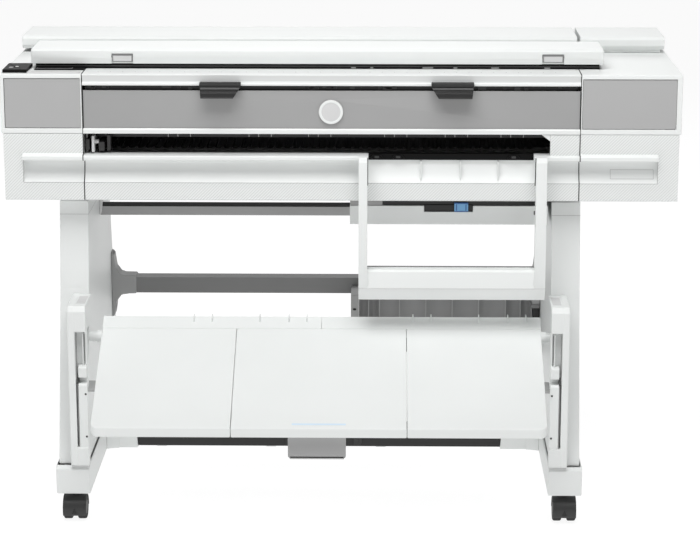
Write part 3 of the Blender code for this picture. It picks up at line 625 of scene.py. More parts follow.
def makeLedge():
    # the ledge's face leans in on its way down to a small lip
    outline = [(0.0030, 0.9362), (0.0006, 0.9362), (-0.0010, 0.9350), (0.0, 0.9320), (0.0006, 0.9195),
               (-0.0016, 0.9186),
               (-0.0022, 0.9170), (-0.0022, 0.9144), (-0.0010, 0.9130), (0.0030, 0.9130)]
    piece("ledgeFace", [across(outline, ledge["x"], 0.0006, 0.0004)], "shellWhite", "scanner_unit")
    # a grey strip on the leaning face: painted shade where the face turns downwards
    band = [(0.0010, 0.9342), (-0.0005, 0.9342), (0.0001, 0.9200), (0.0010, 0.9200)]
    piece("ledgePaintedShade", [across(band, (ledge["x"][0] + 0.0004, ledge["x"][1] - 0.0004), 0.0003, 0.0002)],
          "paintedShadeGrey", "scanner_unit")
    places = np.arange(ledge["x"][0] + 0.03, ledge["x"][1] - 0.03, ledge["tickStep"])
    wide, deep = ledge["tickSize"]
    ticks = [cuboid((x - wide, x + wide), (0.0300, 0.0300 + deep), (0.9360, 0.9366), 0.0002, 0.0001, "Z", 1)
             for x in places]
    piece("ledgeTicks", ticks, "panelGrey", "scanner_unit")


grips = {
    "left_pull_handle": {"x": (-0.2880, -0.2040), "slant": (0.0015, 0.0145)},
    "right_pull_handle": {"x": (0.1850, 0.2720), "slant": (0.0145, 0.0030)},
}


def tapered(shape, x, slant, top=0.9120, low=0.8900):
    # below the flange each end moves in by slant * t, t running from 0 at the flange to 1 at the lip
    points, faces = shape
    t = np.clip((top - points[:, 2]) / (top - low), 0, 1)
    middle = (x[0] + x[1]) / 2
    inward = np.where(points[:, 0] < middle, slant[0], -slant[1])
    points = points + np.stack([inward * t, 0 * t, 0 * t], 1)
    return points, faces


def makeGrips():
    for node, look in grips.items():
        x = look["x"]
        flange = [(-0.0003, 0.9215), (-0.0150, 0.9205), (-0.0190, 0.9190), (-0.0192, 0.9150),
                  (-0.0180, 0.9125),
                  (-0.0003, 0.9115)]
        blade = [(-0.0003, 0.9130), (-0.0170, 0.9130), (-0.0205, 0.9080), (-0.0212, 0.9030),
                 (-0.0240, 0.9010),
                 (-0.0248, 0.8960), (-0.0252, 0.8925), (-0.0215, 0.8925), (-0.0205, 0.8970),
                 (-0.0160, 0.9030),
                 (-0.0003, 0.9070)]
        inner = (x[0] + 0.0008, x[1] - 0.0008)
        shapes = [across(flange, x, 0.0014, 0.0012), tapered(across(blade, inner, 0.0010, 0.0010), x,
                                                             look["slant"])]
        piece(node + "Grip", shapes, "satinBlack", node=node)
        bands = [across([(-0.0198, z + 0.0008), (-0.0216, z + 0.0006), (-0.0216, z - 0.0006),
                         (-0.0198, z - 0.0008)],
                        (x[0] + 0.003, x[1] - 0.003), 0.0004, 0.0003) for z in (0.9085, 0.9048)]
        lip = across([(-0.0220, 0.8928), (-0.0256, 0.8930), (-0.0258, 0.8905), (-0.0225, 0.8902)], inner,
                     0.0006, 0.0005)
        piece(node + "Bands", [tapered(shape, x, look["slant"]) for shape in bands + [lip]], "casterGrey",
              bodyOf[node])


gap = {"x": (-0.5240, 0.4860), "z": (0.9035, 0.9125), "depth": (0.0075, 0.0130), "seed": 7, "count": 34}


def makeGapParts():
    # catches and clips behind the gap: blocks of random width laid end to end with random spaces
    rng = np.random.default_rng(gap["seed"])
    starts = np.sort(rng.uniform(gap["x"][0], gap["x"][1] - 0.03, gap["count"]))
    widths = rng.uniform(0.004, 0.022, gap["count"])
    lows = rng.uniform(0.9035, 0.9075, gap["count"])
    highs = rng.uniform(0.9090, 0.9120, gap["count"])
    for shade, chosen in (("casterGrey", slice(0, None, 2)), ("guideBlack", slice(1, None, 2))):
        shapes = [cuboid((x, x + wide), gap["depth"], (low, high), 0.0006, 0.0004)
                  for x, wide, low, high in zip(starts[chosen], widths[chosen], lows[chosen], highs[chosen])]
        piece("gapParts" + shade.capitalize(), shapes, shade)
    back = cuboid(gap["x"], (0.0140, 0.0150), (0.8960, 0.9150), 0.0005, 0.0003)
    piece("gapBack", [back], "guideBlack")


makeSeams()
makePanelBacks()
makeCentreRim()
makePocketLines()
makeBadge()
makeLedge()
makeGrips()
makeGapParts()
print("body front made")


# output slot: platen ribs, star wheels and end guides

ribs = {"x": (-0.510, 0.418), "step": 0.0180, "wide": 0.0007, "z": (0.7744, 0.7756), "depth": (0.064, 0.190)}
stars = {"groups": (-0.357, -0.190, -0.067, 0.090, 0.215, 0.330), "offsets": (0.0, 0.020, 0.046),
         "radius": 0.0055, "z": 0.8070,
         "depth": 0.0280}


def makeSlot():
    places = np.arange(*ribs["x"], ribs["step"])
    shapes = []
    for x in places:
        low = cuboid((x - ribs["wide"], x + ribs["wide"]), ribs["depth"], ribs["z"], 0.0004, 0.0003, "Z", 1)
        shapes.append(low)
    # the ribs are casterGrey, paler than the black platen: real ribs, with a painted highlight along their
    # tops
    piece("platenRibs", shapes, "casterGrey")
    wheels, hangers = [], []
    for base in stars["groups"]:
        for offset in stars["offsets"]:
            x = base + offset
            radius = stars["radius"]
            profile = [(0.001, x - 0.0006), (radius, x - 0.0006), (radius, x + 0.0006), (0.001, x + 0.0006)]
            wheels.append(turnedX(profile, stars["depth"], stars["z"], 12))
            hangers.append(cuboid((x - 0.0030, x + 0.0030), (0.030, 0.044), (0.8030, 0.8124), 0.0006, 0.0004))
    piece("starWheels", wheels, "leverGrey")
    piece("starHangers", hangers, "guideBlack")
    plate = cuboid((-0.5140, -0.5085), (0.010, 0.040), (0.7720, 0.8060), 0.0010, 0.0006)
    pin = turnedX([(0.0001, -0.5085), (0.0045, -0.5085), (0.0045, -0.5000), (0.0001, -0.5000)], 0.020, 0.7930,
                  20)
    piece("slotGuidePlate", [plate, pin], "paleGrey")
    blocks = [cuboid((-0.5000, -0.4880), (0.014, 0.040), (0.7740, 0.7930), 0.0010, 0.0006),
              cuboid((-0.4830, -0.4760), (0.018, 0.040), (0.7740, 0.8060), 0.0010, 0.0006),
              cuboid((-0.5270, -0.5190), (0.012, 0.030), (0.7760, 0.7990), 0.0010, 0.0006)]
    piece("slotGuideBlocks", blocks, "casterGrey")
    corner = frontal([(0.4120, 0.8124), (0.4298, 0.8124), (0.4298, 0.7990)], (0.0010, 0.0040), 0.0004, 0.0004)
    piece("slotCorner", [corner], "shellWhite")
    ceiling = cuboid((-0.5280, 0.4255), (0.046, 0.058), (0.7980, 0.8124), 0.0010, 0.0006)
    piece("slotCeiling", [ceiling], "guideBlack")


tabs = {"x": (0.0740, 0.1180, 0.3560), "half": (0.0140, 0.0075), "z": (0.7600, 0.7680),
        "depth": (0.0090, 0.0130)}


def makeNotchTabs():
    # trapezoids: wide at the foot, narrow at the top, each with a paler core
    wide, narrow = tabs["half"]
    low, high = tabs["z"]
    dark, pale = [], []
    for x in tabs["x"]:
        outline = [(x - wide, low), (x + wide, low), (x + narrow, high), (x - narrow, high)]
        dark.append(frontal(outline, tabs["depth"], 0.0008, 0.0006))
        pale.append(cuboid((x - 0.0045, x + 0.0045), (tabs["depth"][0] - 0.0008, 0.0100),
                           (low + 0.0015, high - 0.0020),
                           0.0008, 0.0004))
    back = cuboid((0.0568, 0.3972), (0.0124, 0.0298), (0.7572, 0.7698), 0.0006, 0.0004)
    piece("notchTabs", dark + [back], "deckBlack")
    piece("notchTabCores", pale, "casterGrey")


makeSlot()
makeNotchTabs()
print("slot made")


# deck: control panel mark, strips, scanner edge, lid latches

def makeDeck():
    mark = cuboid((-0.6725, -0.6655), (0.0480, 0.0540), (0.9430, 0.9441), 0.0024, 0.0003, "Z")
    piece("panelMark", [mark], "trayWhite", "control_panel")
    skirtEdge = [(0.0680, 0.9600), (0.0698, 0.9472), (0.0722, 0.9472), (0.0722, 0.9600)]
    skirts = [across(skirtEdge, x, 0.0006, 0.0005) for x in ((-0.6418, -0.4755), (-0.4312, 0.4152),
                                                             (0.4598, 0.5408))]
    piece("lidSkirt", skirts, "shellWhite", "scan_lid")
    strip = cuboid((-0.6425, -0.5345), (0.0030, 0.0300), (0.9362, 0.9382), 0.0020, 0.0008, "Z")
    piece("deckStrip", [strip], "paleGrey")
    well = cuboid((-0.6340, -0.5312), (0.0480, 0.0748), (0.9362, 0.9390), 0.0020, 0.0008, "Z")
    piece("deckWell", [well], "deckBlack")
    outer = [(-0.6300, faceY + 0.0540), (-0.5560, faceY + 0.0540), (-0.5560, faceY + 0.0680),
             (-0.6300, faceY + 0.0680)]
    piece("deckWellTrim", [prism(outer, 0.9388, 0.9393, "Z", 0.0020, 0.0002)], "leverGrey")
    inner = [(-0.6288, faceY + 0.0552), (-0.5572, faceY + 0.0552), (-0.5572, faceY + 0.0668),
             (-0.6288, faceY + 0.0668)]
    piece("deckWellPlate", [prism(inner, 0.9390, 0.9395, "Z", 0.0016, 0.0002)], "deckBlack")
    edge = across([(0.0735, 0.9405), (0.0735, 0.9430), (0.0760, 0.9438), (0.0760, 0.9405)], (-0.6335, 0.5335),
                  0.0005, 0.0004)
    piece("scannerEdge", [edge], "casterGrey", "scanner_unit")
    bits = [cuboid((x, x + wide), (0.0728, 0.0752), (0.9375, 0.9402), 0.0005, 0.0003)
            for x, wide in ((0.020, 0.010), (0.060, 0.006), (0.168, 0.022), (0.232, 0.008), (0.310, 0.016),
                            (0.420, 0.012))]
    piece("scannerEdgeBits", bits, "deflectorGrey", "scanner_unit")


def makeLatchPlates():
    for side in ("left", "right"):
        low, high = span(side + "_lid_latch")
        x = (low[0] + 0.0030, high[0] - 0.0030)
        outline = [(x[0], low[2] + 0.0006), (x[1], low[2] + 0.0006), (x[1], high[2] - 0.0042),
                   (x[0], high[2] - 0.0042)]
        plate = prism(outline, low[1] - 0.0006, low[1] + 0.0006, "Y", 0.0010, 0.0004)
        piece(side + "LatchPlate", [plate], "paleGrey", bodyOf[side + "_lid_latch"])


makeDeck()
makeLatchPlates()
print("deck made")


# sheet feeder: mouth, blue stop, drawer trim, frame trim and ribbed deflector

def makeFeeder():
    mouth = cuboid((0.0860, 0.4300), (0.0520, 0.0540), (0.6534, 0.6724), 0.0006, 0.0004)
    piece("feedMouth", [mouth], "guideBlack")
    cap = cuboid((0.0185, 0.0860), (0.0490, 0.0600), (0.6534, 0.6700), 0.0010, 0.0008)
    piece("feedMouthCap", [cap], "leverGrey")
    well = cuboid((0.1735, 0.2745), (0.0520, 0.0540), (0.6380, 0.6560), 0.0010, 0.0004)
    piece("feedNotchBack", [well], "guideBlack")
    oval = cuboid((0.4020, 0.4048), (0.0468, 0.0478), (0.6340, 0.6430), 0.0014, 0.0002)
    piece("drawerSlot", [oval], "seamBlack")
    low, high = span("sheet_stop")
    legs = [slab((x, low[1] - 0.0004, low[2] + 0.0030), (x + 0.0022, low[1] + 0.0010, high[2] - 0.0035),
                 0.0004, 0.0003)
            for x in (low[0] + 0.0035, high[0] - 0.0057)]
    piece("stopSlots", legs, "latchDeep", "sheet_stop")
    foot = slab((low[0] + 0.001, low[1] - 0.0006, low[2] + 0.0003),
                (high[0] - 0.001, low[1] + 0.0010, low[2] + 0.0022),
                0.0005, 0.0004)
    head = slab((low[0] - 0.0004, low[1] - 0.0006, high[2] - 0.0024),
                (high[0] + 0.0004, low[1] + 0.0010, high[2] + 0.0002),
                0.0005, 0.0004)
    piece("stopEdges", [foot, head], "latchDeep", "sheet_stop")


def makeFrameTrim():
    back = cuboid((0.0550, 0.4000), (-0.0160, -0.0148), (0.5340, 0.5392), 0.0008, 0.0004)
    piece("frameBackEdge", [back], "barGrey", "sheet_frame")
    strip = across([(-0.0340, 0.5352), (-0.0350, 0.5366), (-0.0150, 0.5366), (-0.0150, 0.5352)],
                   (0.0552, 0.3998), 0.0004, 0.0003)
    piece("frameTopStrip", [strip], "trayWhite", "sheet_frame")
    line = across([(-0.0462, 0.4996), (-0.0474, 0.4994), (-0.0474, 0.4984), (-0.0462, 0.4982)],
                  (0.0372, 0.4223), 0.0003, 0.0002)
    piece("frameFoldLine", [line], "paleGrey", "sheet_frame")
    edges = []
    for x, way in ((0.0550, 1), (0.4000, -1)):
        # dark slivers that curve beside the arms' tops
        t = np.linspace(0, 1, 12)
        path = np.stack([-0.0300 + 0.012 * t * t, 0.7690 - 0.058 * t], 1)
        edges.append(ribbon(path, x + way * 0.0008, 0.0014, 0.0030))
    piece("frameArmEdges", edges, "seamBlack", "sheet_frame")
    gussets = []
    for x, way in ((0.0550, 1), (0.4000, -1)):
        outline = [(x, 0.5300), (x + way * 0.0045, 0.5000), (x, 0.5000)]
        gussets.append(frontal(outline, (-0.0460, -0.0300), 0.0004, 0.0004))
    piece("frameGussets", gussets, "shellWhite", "sheet_frame")


deflector = {"ribs": (0.0340, 0.0560, 0.0800, 0.1250, 0.1840, 0.2430, 0.3020, 0.3620, 0.3950, 0.4200, 0.4365),
             "z": (0.2505, 0.3878), "depth": 0.3470, "belly": 0.0110}


def makeDeflector():
    low, high = deflector["z"]
    cells, fins = [], []
    edges = deflector["ribs"]
    for left, right in zip(edges, edges[1:]):
        # every cell is a hollow: depth = back + belly * sin(pi u) * (1 - 0.3 v)
        def hollow(u, v, left=left, right=right):
            deep = deflector["depth"] - 0.004 + deflector["belly"] * np.sin(np.pi * u) * (1 - 0.3 * v)
            return left + (right - left) * u, faceY + deep, low + (high - low) * v

        def behind(u, v, left=left, right=right):
            x, y, z = hollow(u, v, left, right)
            return x, y + 0.0015, z
        front = sheet(hollow, np.linspace(0, 1, 13), np.linspace(0, 1, 9))
        back = sheet(behind, np.linspace(0, 1, 13), np.linspace(0, 1, 9))
        cells += [front, back]
    for x in edges[1:-1]:
        outline = [(0.3480, low), (0.3260, low), (0.3280, low + 0.06), (0.3330, high), (0.3480, high)]
        fins.append(across(outline, (x - 0.0010, x + 0.0010), 0.0008, 0.0004))
    piece("deflectorCells", cells, "deflectorGrey", node="sheet_deflector", angle=80)
    brackets = [across([(0.3300, low), (0.3300, high), (0.4170, high), (0.4170, low)], (0.0162, 0.0330),
                       0.0020, 0.0010),
                across([(0.3480, low), (0.3480, high), (0.4170, high), (0.4170, low)], (0.4290, 0.4378),
                       0.0020, 0.0010)]
    piece("deflectorFrame", fins + brackets, "leverGrey", bodyOf["sheet_deflector"])
    hole = cuboid((0.0205, 0.0285), (0.3290, 0.3302), (0.3520, 0.3570), 0.0024, 0.0002)
    blackEnd = cuboid((0.4220, 0.4375), (0.3230, 0.3440), (0.3300, 0.3600), 0.0010, 0.0008)
    piece("deflectorDark", [hole, blackEnd], "guideBlack", bodyOf["sheet_deflector"])
    middle = cuboid((0.4170, 0.4378), (0.3210, 0.3440), (0.3605, 0.3700), 0.0010, 0.0008)
    top = cuboid((0.4200, 0.4378), (0.3210, 0.3440), (0.3705, 0.3860), 0.0020, 0.0010)
    piece("deflectorEndBlock", [middle], "barGrey", bodyOf["sheet_deflector"])
    piece("deflectorEndCap", [top], "leverGrey", bodyOf["sheet_deflector"])


makeFeeder()
makeFrameTrim()
makeDeflector()
print("sheet feeder made")


# stacker tray

tray = {"back": (0.0200, 0.4200), "front": (-0.2580, 0.2610), "left": -0.4995, "right": 0.4180,
        "seams": (-0.2176, 0.1370), "start": 0.112, "crease": 0.845, "radius": 0.0150, "edge": 0.0016,
        "gap": 0.0005}
trayBack = np.array(tray["back"])
trayWay = np.array(tray["front"]) - trayBack
trayLength = float(np.hypot(*trayWay))
trayWay /= trayLength
trayUp = np.array([trayWay[1], -trayWay[0]])


def onTray(x, s, w):
    # s runs down the slope and w along its normal, which turns upright near the front edge
    share = s / trayLength
    turn = smooth((share - 0.80) / 0.12)[..., None]
    lean = trayUp * (1 - turn) + np.array([0.0, 1.0]) * turn
    lean = lean / np.linalg.norm(lean, axis=-1)[..., None]
    dip = -0.0008 * np.clip(1 - np.abs(share - tray["crease"]) / 0.14, 0, 1)
    flat = trayBack + trayWay * s[..., None] + lean * w[..., None] + trayUp * dip[..., None]
    return np.stack([x, faceY + flat[..., 0], flat[..., 1]], -1)


def leaf(left, right, roundLeft, roundRight):
    # rings across x, one after another down the slope; near the front the rounded side moves in by
    # r - sqrt(r^2 - q^2), q being how far the ring is into the corner
    edge, radius = tray["edge"], tray["radius"]
    inner = np.linspace(tray["start"] * trayLength + edge, trayLength - radius, 26)
    corner = trayLength - radius + (radius - edge) * np.sin(np.linspace(0, np.pi / 2, 10))[1:]
    curl = np.linspace(0, np.pi / 2, 5)
    s = np.concatenate([inner[0] - edge * np.sin(curl[::-1]), inner[1:], corner,
                        trayLength - edge + edge * np.sin(curl[1:])])
    shrink = np.concatenate([edge * (1 - np.cos(curl[::-1])), 0 * inner[1:], 0 * corner,
                             edge * (1 - np.cos(curl[1:]))])
    q = np.clip(s - (trayLength - radius), 0, radius * 0.9999)
    arc = radius - np.sqrt(radius ** 2 - q ** 2)
    thick = 0.012 + 0.007 * smooth((s / trayLength - 0.80) / 0.06)
    wide = right - left
    ring = rounded([(0, 0), (wide, 0), (wide, 0.012), (0, 0.012)], edge, 3)
    u = ring[:, 0] / wide
    v = ring[:, 1] / 0.012
    low = left + arc * roundLeft + shrink
    high = right - arc * roundRight - shrink
    x = low[:, None] + (high - low)[:, None] * u[None]
    w = -thick[:, None] + shrink[:, None] + (thick - 2 * shrink)[:, None] * v[None]
    points = onTray(x, np.broadcast_to(s[:, None], x.shape), w)
    return points.reshape(-1, 3), ringFaces(len(s), len(ring))


def pin(start, end, collar):
    # the pivot pin, with a wider collar against the tray
    profile = [(0.0001, start), (0.0105, start), (0.0105, collar[0]), (0.0130, collar[0]),
               (0.0130, collar[1]), (0.0105, collar[1]),
               (0.0105, end), (0.0001, end)]
    return turnedX(profile, -0.0225, 0.3870, 32)


def makeTray():
    gap = tray["gap"]
    left, right = tray["left"], tray["right"]
    first, second = tray["seams"]
    piece("leftLeaf", [leaf(left, first - gap, 1, 0)], "dottedTray", node="tray_panel_left", angle=50)
    piece("centreLeaf", [leaf(first + gap, second - gap, 0, 0)], "dottedTray", node="tray_panel_centre",
          angle=50)
    piece("rightLeaf", [leaf(second + gap, right, 0, 1)], "dottedTray", node="tray_panel_right", angle=50)
    leftPin = pin(left - 0.0260, left + 0.002, (left - 0.0090, left + 0.001))
    rightPin = pin(right - 0.002, right + 0.0260, (right - 0.001, right + 0.0090))
    piece("trayPins", [leftPin, rightPin], "standPaint", "tray")
    s = np.array([trayLength - 0.0150, trayLength - 0.0105])
    x = np.array([-0.0945, 0.0140])
    corners = onTray(*[grid.ravel() for grid in np.meshgrid(x, s, [0.0001, 0.0005], indexing="ij")])
    faces = [[0, 1, 3, 2], [4, 6, 7, 5], [0, 4, 5, 1], [2, 3, 7, 6], [0, 2, 6, 4], [1, 5, 7, 3]]
    piece("trayMark", [(corners, faces)], "markBlue", "tray")


def makeTrayHandle():
    low, high = span("tray_handle")
    x = (low[0], high[0])
    deep = low[1] - faceY
    outline = [(x[0], 0.2410), (x[1], 0.2410), (x[1], 0.1935), (x[0], 0.1935)]
    plate = frontal(outline, (deep, deep + 0.0035), [0.0006, 0.0006, 0.0045, 0.0045], 0.0010)
    curl = across([(deep, 0.1990), (deep, 0.1935), (deep + 0.003, 0.1905), (-0.2130, 0.1903),
                   (-0.2130, 0.1935), (-0.2330, 0.1950)],
                  (x[0] + 0.0035, x[1] - 0.0035), 0.0012, 0.0010)
    piece("handlePlate", [plate, curl], "leverGrey", node="tray_handle")


makeTray()
makeTrayHandle()
print("tray made")


# stand: arms, leg caps, crossbar ends and casters

arms = {"left_tray_arm": (-0.5620, 1), "right_tray_arm": (0.4720, -1)}


def makeArm(node, outer, way):
    # u is measured inwards from the arm's outer face
    def at(first, last):
        return tuple(sorted((outer + way * first, outer + way * last)))

    wall = [(-0.0980, 0.1262), (-0.0980, 0.4590), (-0.0895, 0.4708), (0.0130, 0.4708), (0.0130, 0.4660),
            (-0.0640, 0.1262)]
    block = [(-0.0975, 0.4150), (-0.0975, 0.4588), (-0.0890, 0.4700), (0.0125, 0.4700), (0.0125, 0.4150)]
    foot = [(-0.0970, 0.1262), (-0.0970, 0.1640), (-0.0940, 0.1670), (-0.0680, 0.1670), (-0.0770, 0.1262)]
    lower = [(-0.0930, 0.1650), (-0.0930, 0.3000), (-0.0900, 0.3040), (-0.0600, 0.3040), (-0.0600, 0.1650)]
    step = [(-0.0900, 0.3160), (-0.0900, 0.3370), (-0.0820, 0.3420), (-0.0500, 0.3420), (-0.0500, 0.3160)]
    inner = [(-0.0740, 0.1640), (-0.0740, 0.4180), (-0.0700, 0.4180), (-0.0560, 0.1640)]
    shapes = [
        across(wall, at(0.0, 0.0150), 0.0040, 0.0030), across(block, at(0.0060, 0.0385), 0.0040, 0.0020),
        across(foot, at(0.0040, 0.0385), 0.0020, 0.0014), across(lower, at(0.0195, 0.0380), 0.0020, 0.0014),
        across(step, at(0.0195, 0.0370), 0.0020, 0.0014), across(inner, at(0.0100, 0.0385), 0.0010, 0.0008),
    ]
    piece(node + "Shell", shapes, "standPaint", node=node)
    rib = cuboid(at(0.0290, 0.0312), (-0.0850, -0.0730), (0.3420, 0.4100), 0.0008, 0.0006)
    rib2 = cuboid(at(0.0345, 0.0372), (-0.0800, -0.0730), (0.3420, 0.4150), 0.0008, 0.0006)
    piece(node + "Ribs", [rib, rib2], "standPaint", bodyOf[node])
    dark = [cuboid(at(0.0152, 0.0162), (-0.0850, -0.0720), (0.3080, 0.4140), 0.0003, 0.0002),
            cuboid(at(0.0180, 0.0190), (-0.0930, -0.0600), (0.1680, 0.3030), 0.0003, 0.0002),
            cuboid(at(0.0318, 0.0326), (-0.0760, -0.0720), (0.3480, 0.4050), 0.0003, 0.0002)]
    piece(node + "Lines", dark, "leverGrey", bodyOf[node])
    wedge = across([(-0.0920, 0.3040), (-0.0820, 0.3160), (-0.0500, 0.3160), (-0.0500, 0.3040)],
                   at(0.0152, 0.0200), 0.0006, 0.0004)
    screws = [knob(outer + way * 0.0345, -0.0932, z, 0.0022, 0.0006) for z in (0.2820, 0.1900)]
    piece(node + "Darks", [wedge] + screws, "casterGrey", bodyOf[node])
    seamLine = cuboid(at(0.0020, 0.0386), (-0.0983, -0.0700), (0.1254, 0.1264), 0.0003, 0.0002)
    # the grey strip in the pocket on the arm's top is painted shade in the hollow
    hollowShade = across([(-0.0700, 0.4690), (-0.0700, 0.4706), (-0.0100, 0.4706), (-0.0100, 0.4690)],
                       at(0.0170, 0.0350), 0.0006, 0.0004)
    piece(node + "Seams", [seamLine, hollowShade], "paleGrey", bodyOf[node])


def makeLegCaps():
    lines = []
    skirts = []
    for side in ("left", "right"):
        low, high = span(side + "_leg")
        skirts.append(cuboid((low[0] + 0.0003, high[0] - 0.0003), (-0.0770, 0.5165), (0.1240, 0.1272), 0.0006,
                             0.0004, "Z"))
        lines.append(cuboid((low[0] - 0.0002, high[0] + 0.0002), (0.0425, 0.4200), (0.6336, 0.6344), 0.0003,
                            0.0002, "Z"))
    piece("legCapSeams", lines, "panelGrey")
    piece("legSkirts", skirts, "standPaint")


def makeLowerBar():
    low, high = span("left_leg")[1][0], span("right_leg")[0][0]
    bar = cuboid((low + 0.0740, high - 0.0880), (0.2140, 0.2520), (0.0700, 0.1180), 0.0030, 0.0015, "X")
    piece("lowerBar", [bar], "satinBlack", node="lower_crossbar")
    left = frontal([(low + 0.0330, 0.0665), (low + 0.0740, 0.0665), (low + 0.0710, 0.1200),
                    (low + 0.0330, 0.1200)],
                   (0.2110, 0.2550), 0.0010, 0.0010)
    right = frontal([(high - 0.0910, 0.0665), (high - 0.0330, 0.0665), (high - 0.0330, 0.1200),
                     (high - 0.0860, 0.1200)],
                    (0.2110, 0.2550), 0.0010, 0.0010)
    t = np.linspace(0, 1, 9)
    shapes = [left, right]
    for x, way in ((low + 0.0053, 1), (high - 0.0053, -1)):
        # the bracket's lower edge curves down to the foot: z = 0.0665 - 0.003 (1 - t)^2
        curve = [(x + way * 0.0280 * u, 0.0665 - 0.0030 * (1 - u) ** 2) for u in t]
        outline = curve + [(x + way * 0.0280, 0.1210), (x, 0.1240)]
        shapes.append(frontal(outline, (0.2080, 0.2580), 0.0006, 0.0008, 2))
    piece("lowerBarEnds", shapes, "standPaint", bodyOf["lower_crossbar"])
    bits = [cuboid((x, x + 0.0160), (0.2115, 0.2150), (0.0740, 0.1100), 0.0010, 0.0006)
            for x in (-0.1270, 0.0240)]
    bits += [cuboid((x, x + 0.0070), (0.2095, 0.2120), (0.0790, 0.0900), 0.0008, 0.0005)
             for x in (-0.1250, -0.1160, 0.0260, 0.0345)]
    piece("lowerBarCatches", bits, "casterGrey", bodyOf["lower_crossbar"])
    marks = [cuboid((x, x + 0.0220), (0.2132, 0.2150), (0.0697, 0.0712), 0.0004, 0.0003)
             for x in (-0.4130, -0.1700, 0.0730)]
    piece("lowerBarMarks", marks, "paleGrey", bodyOf["lower_crossbar"])


def makeBarTrim():
    low, high = span("upper_crossbar")
    # a dark strip over the bar's top face, under the body: painted shade
    top = slab((low[0], low[1] - 0.0004, high[2] - 0.0015), (high[0], high[1], high[2] + 0.0004), 0.0006,
               0.0004)
    piece("upperBarTopShade", [top], "seamBlack", bodyOf["upper_crossbar"])
    plates = []
    for x, way in ((low[0], 1), (high[0], -1)):
        outline = [(x, 0.6580), (x + way * 0.0050, 0.6580), (x + way * 0.0080, 0.6300),
                   (x + way * 0.0050, 0.6000), (x, 0.5860)]
        plates.append(frontal(outline, (0.2280, 0.2338), 0.0020, 0.0010))
    piece("upperBarPlates", plates, "paleGrey", bodyOf["upper_crossbar"])
    # the flares are white like the legs; their leverGrey is painted shade, the grey they show under the body
    flares = []
    for x, way in ((low[0], 1), (high[0], -1)):
        outline = [(x, 0.4640), (x + way * 0.006, 0.4560), (x + way * 0.010, 0.4270),
                   (x + way * 0.020, 0.4130),
                   (x + way * 0.030, 0.4095), (x + way * 0.0560, 0.4090), (x + way * 0.0560, 0.3670),
                   (x + way * 0.030, 0.3665),
                   (x + way * 0.020, 0.3625), (x + way * 0.010, 0.3480), (x + way * 0.006, 0.3180),
                   (x, 0.3100)]
        flares.append(frontal(outline, (0.4168, 0.4575), 0.0030, 0.0015))
    piece("rearBarFlaresInShade", flares, "leverGrey", bodyOf["rear_crossbar"])


def makeCasters():
    for side in ("left", "right"):
        for end in ("front", "rear"):
            name = side + "_" + end + "_caster"
            low, high = span(name + "_wheels")
            centre = (low + high) / 2
            radius = (high[2] - low[2]) / 2
            half = (high[0] - low[0]) / 2
            tyres, hubs = [], []
            for way in (-1, 1):
                inner, outer = way * 0.0060, way * half
                profile = np.array([(0.0060, inner), (radius - 0.0025, inner),
                                    (radius - 0.0006, inner + way * 0.0012),
                                    (radius, inner + way * 0.0035), (radius, outer - way * 0.0040),
                                    (radius - 0.0007, outer - way * 0.0014), (radius - 0.0030, outer),
                                    (0.0175, outer),
                                    (0.0165, outer - way * 0.0012), (0.0060, outer - way * 0.0012)])
                tyres.append(lathe(profile, centre, "X", 48))
                hub = [(0.0001, outer - way * 0.0022), (0.0150, outer - way * 0.0022),
                       (0.0150, outer - way * 0.0008),
                       (0.0060, outer - way * 0.0004), (0.0001, outer - way * 0.0004)]
                hubs.append(lathe(hub, centre, "X", 32))
            piece(name + "Tyres", tyres, "rubberBlack", node=name + "_wheels")
            piece(name + "Hubs", hubs, "casterGrey", bodyOf[name + "_wheels"])
            angle = np.radians(np.linspace(-8, 206, 32) if end == "front" else np.linspace(12, 202, 32))
            outer = np.stack([centre[1] + (radius + 0.0030) * np.cos(angle),
                              centre[2] + (radius + 0.0030) * np.sin(angle)], 1)
            innerArc = np.stack([centre[1] + (radius + 0.0008) * np.cos(angle),
                                 centre[2] + (radius + 0.0008) * np.sin(angle)], 1)
            hood = prism(np.concatenate([outer, innerArc[::-1]]), centre[0] - half - 0.0004,
                         centre[0] + half + 0.0004, "X",
                         0.0002, 0.0008, 2)
            piece(name + "Hood", [hood], "casterGrey", bodyOf[name + "_fork"])
            softened(name + "_fork", "casterGrey", 0.0008)
            face = centre[1] - radius - 0.0028
            tab = prism([(centre[0] - 0.0052, 0.0180), (centre[0] + 0.0052, 0.0180),
                         (centre[0] + 0.0012, 0.0300),
                         (centre[0] - 0.0012, 0.0300)], face - 0.0006, face + 0.002, "Y", 0.0008, 0.0004)
            piece(name + "Tab", [tab], "guideBlack", bodyOf[name + "_fork"])


for node, (outer, way) in arms.items():
    makeArm(node, outer, way)
makeLegCaps()
makeLowerBar()
makeBarTrim()
makeCasters()
print("stand made")


# back: vents and screws

def makeBack():
    rear = span("left_lower_housing")[1][1]
    vents = []
    for x in (-0.6500, 0.5300):
        for row in range(6):
            z = 0.7550 + 0.0070 * row
            vents.append(slab((x, rear - 0.0002, z), (x + 0.1000, rear + 0.0004, z + 0.0030), 0.0010, 0.0002))
    piece("rearVents", vents, "seamBlack")
    places = [(x, z) for x in (-0.6800, -0.5450, 0.5060, 0.6800) for z in (0.6900, 0.9250)]
    screws = [lathe([(0.0001, 0.0), (0.0032, 0.0), (0.0030, 0.0008), (0.0012, 0.0010), (0.0001, 0.0006)],
                    (x, rear - 0.0002, z), "Y", 20)
              for x, z in places]
    piece("rearScrews", screws, "zincSteel")


makeBack()

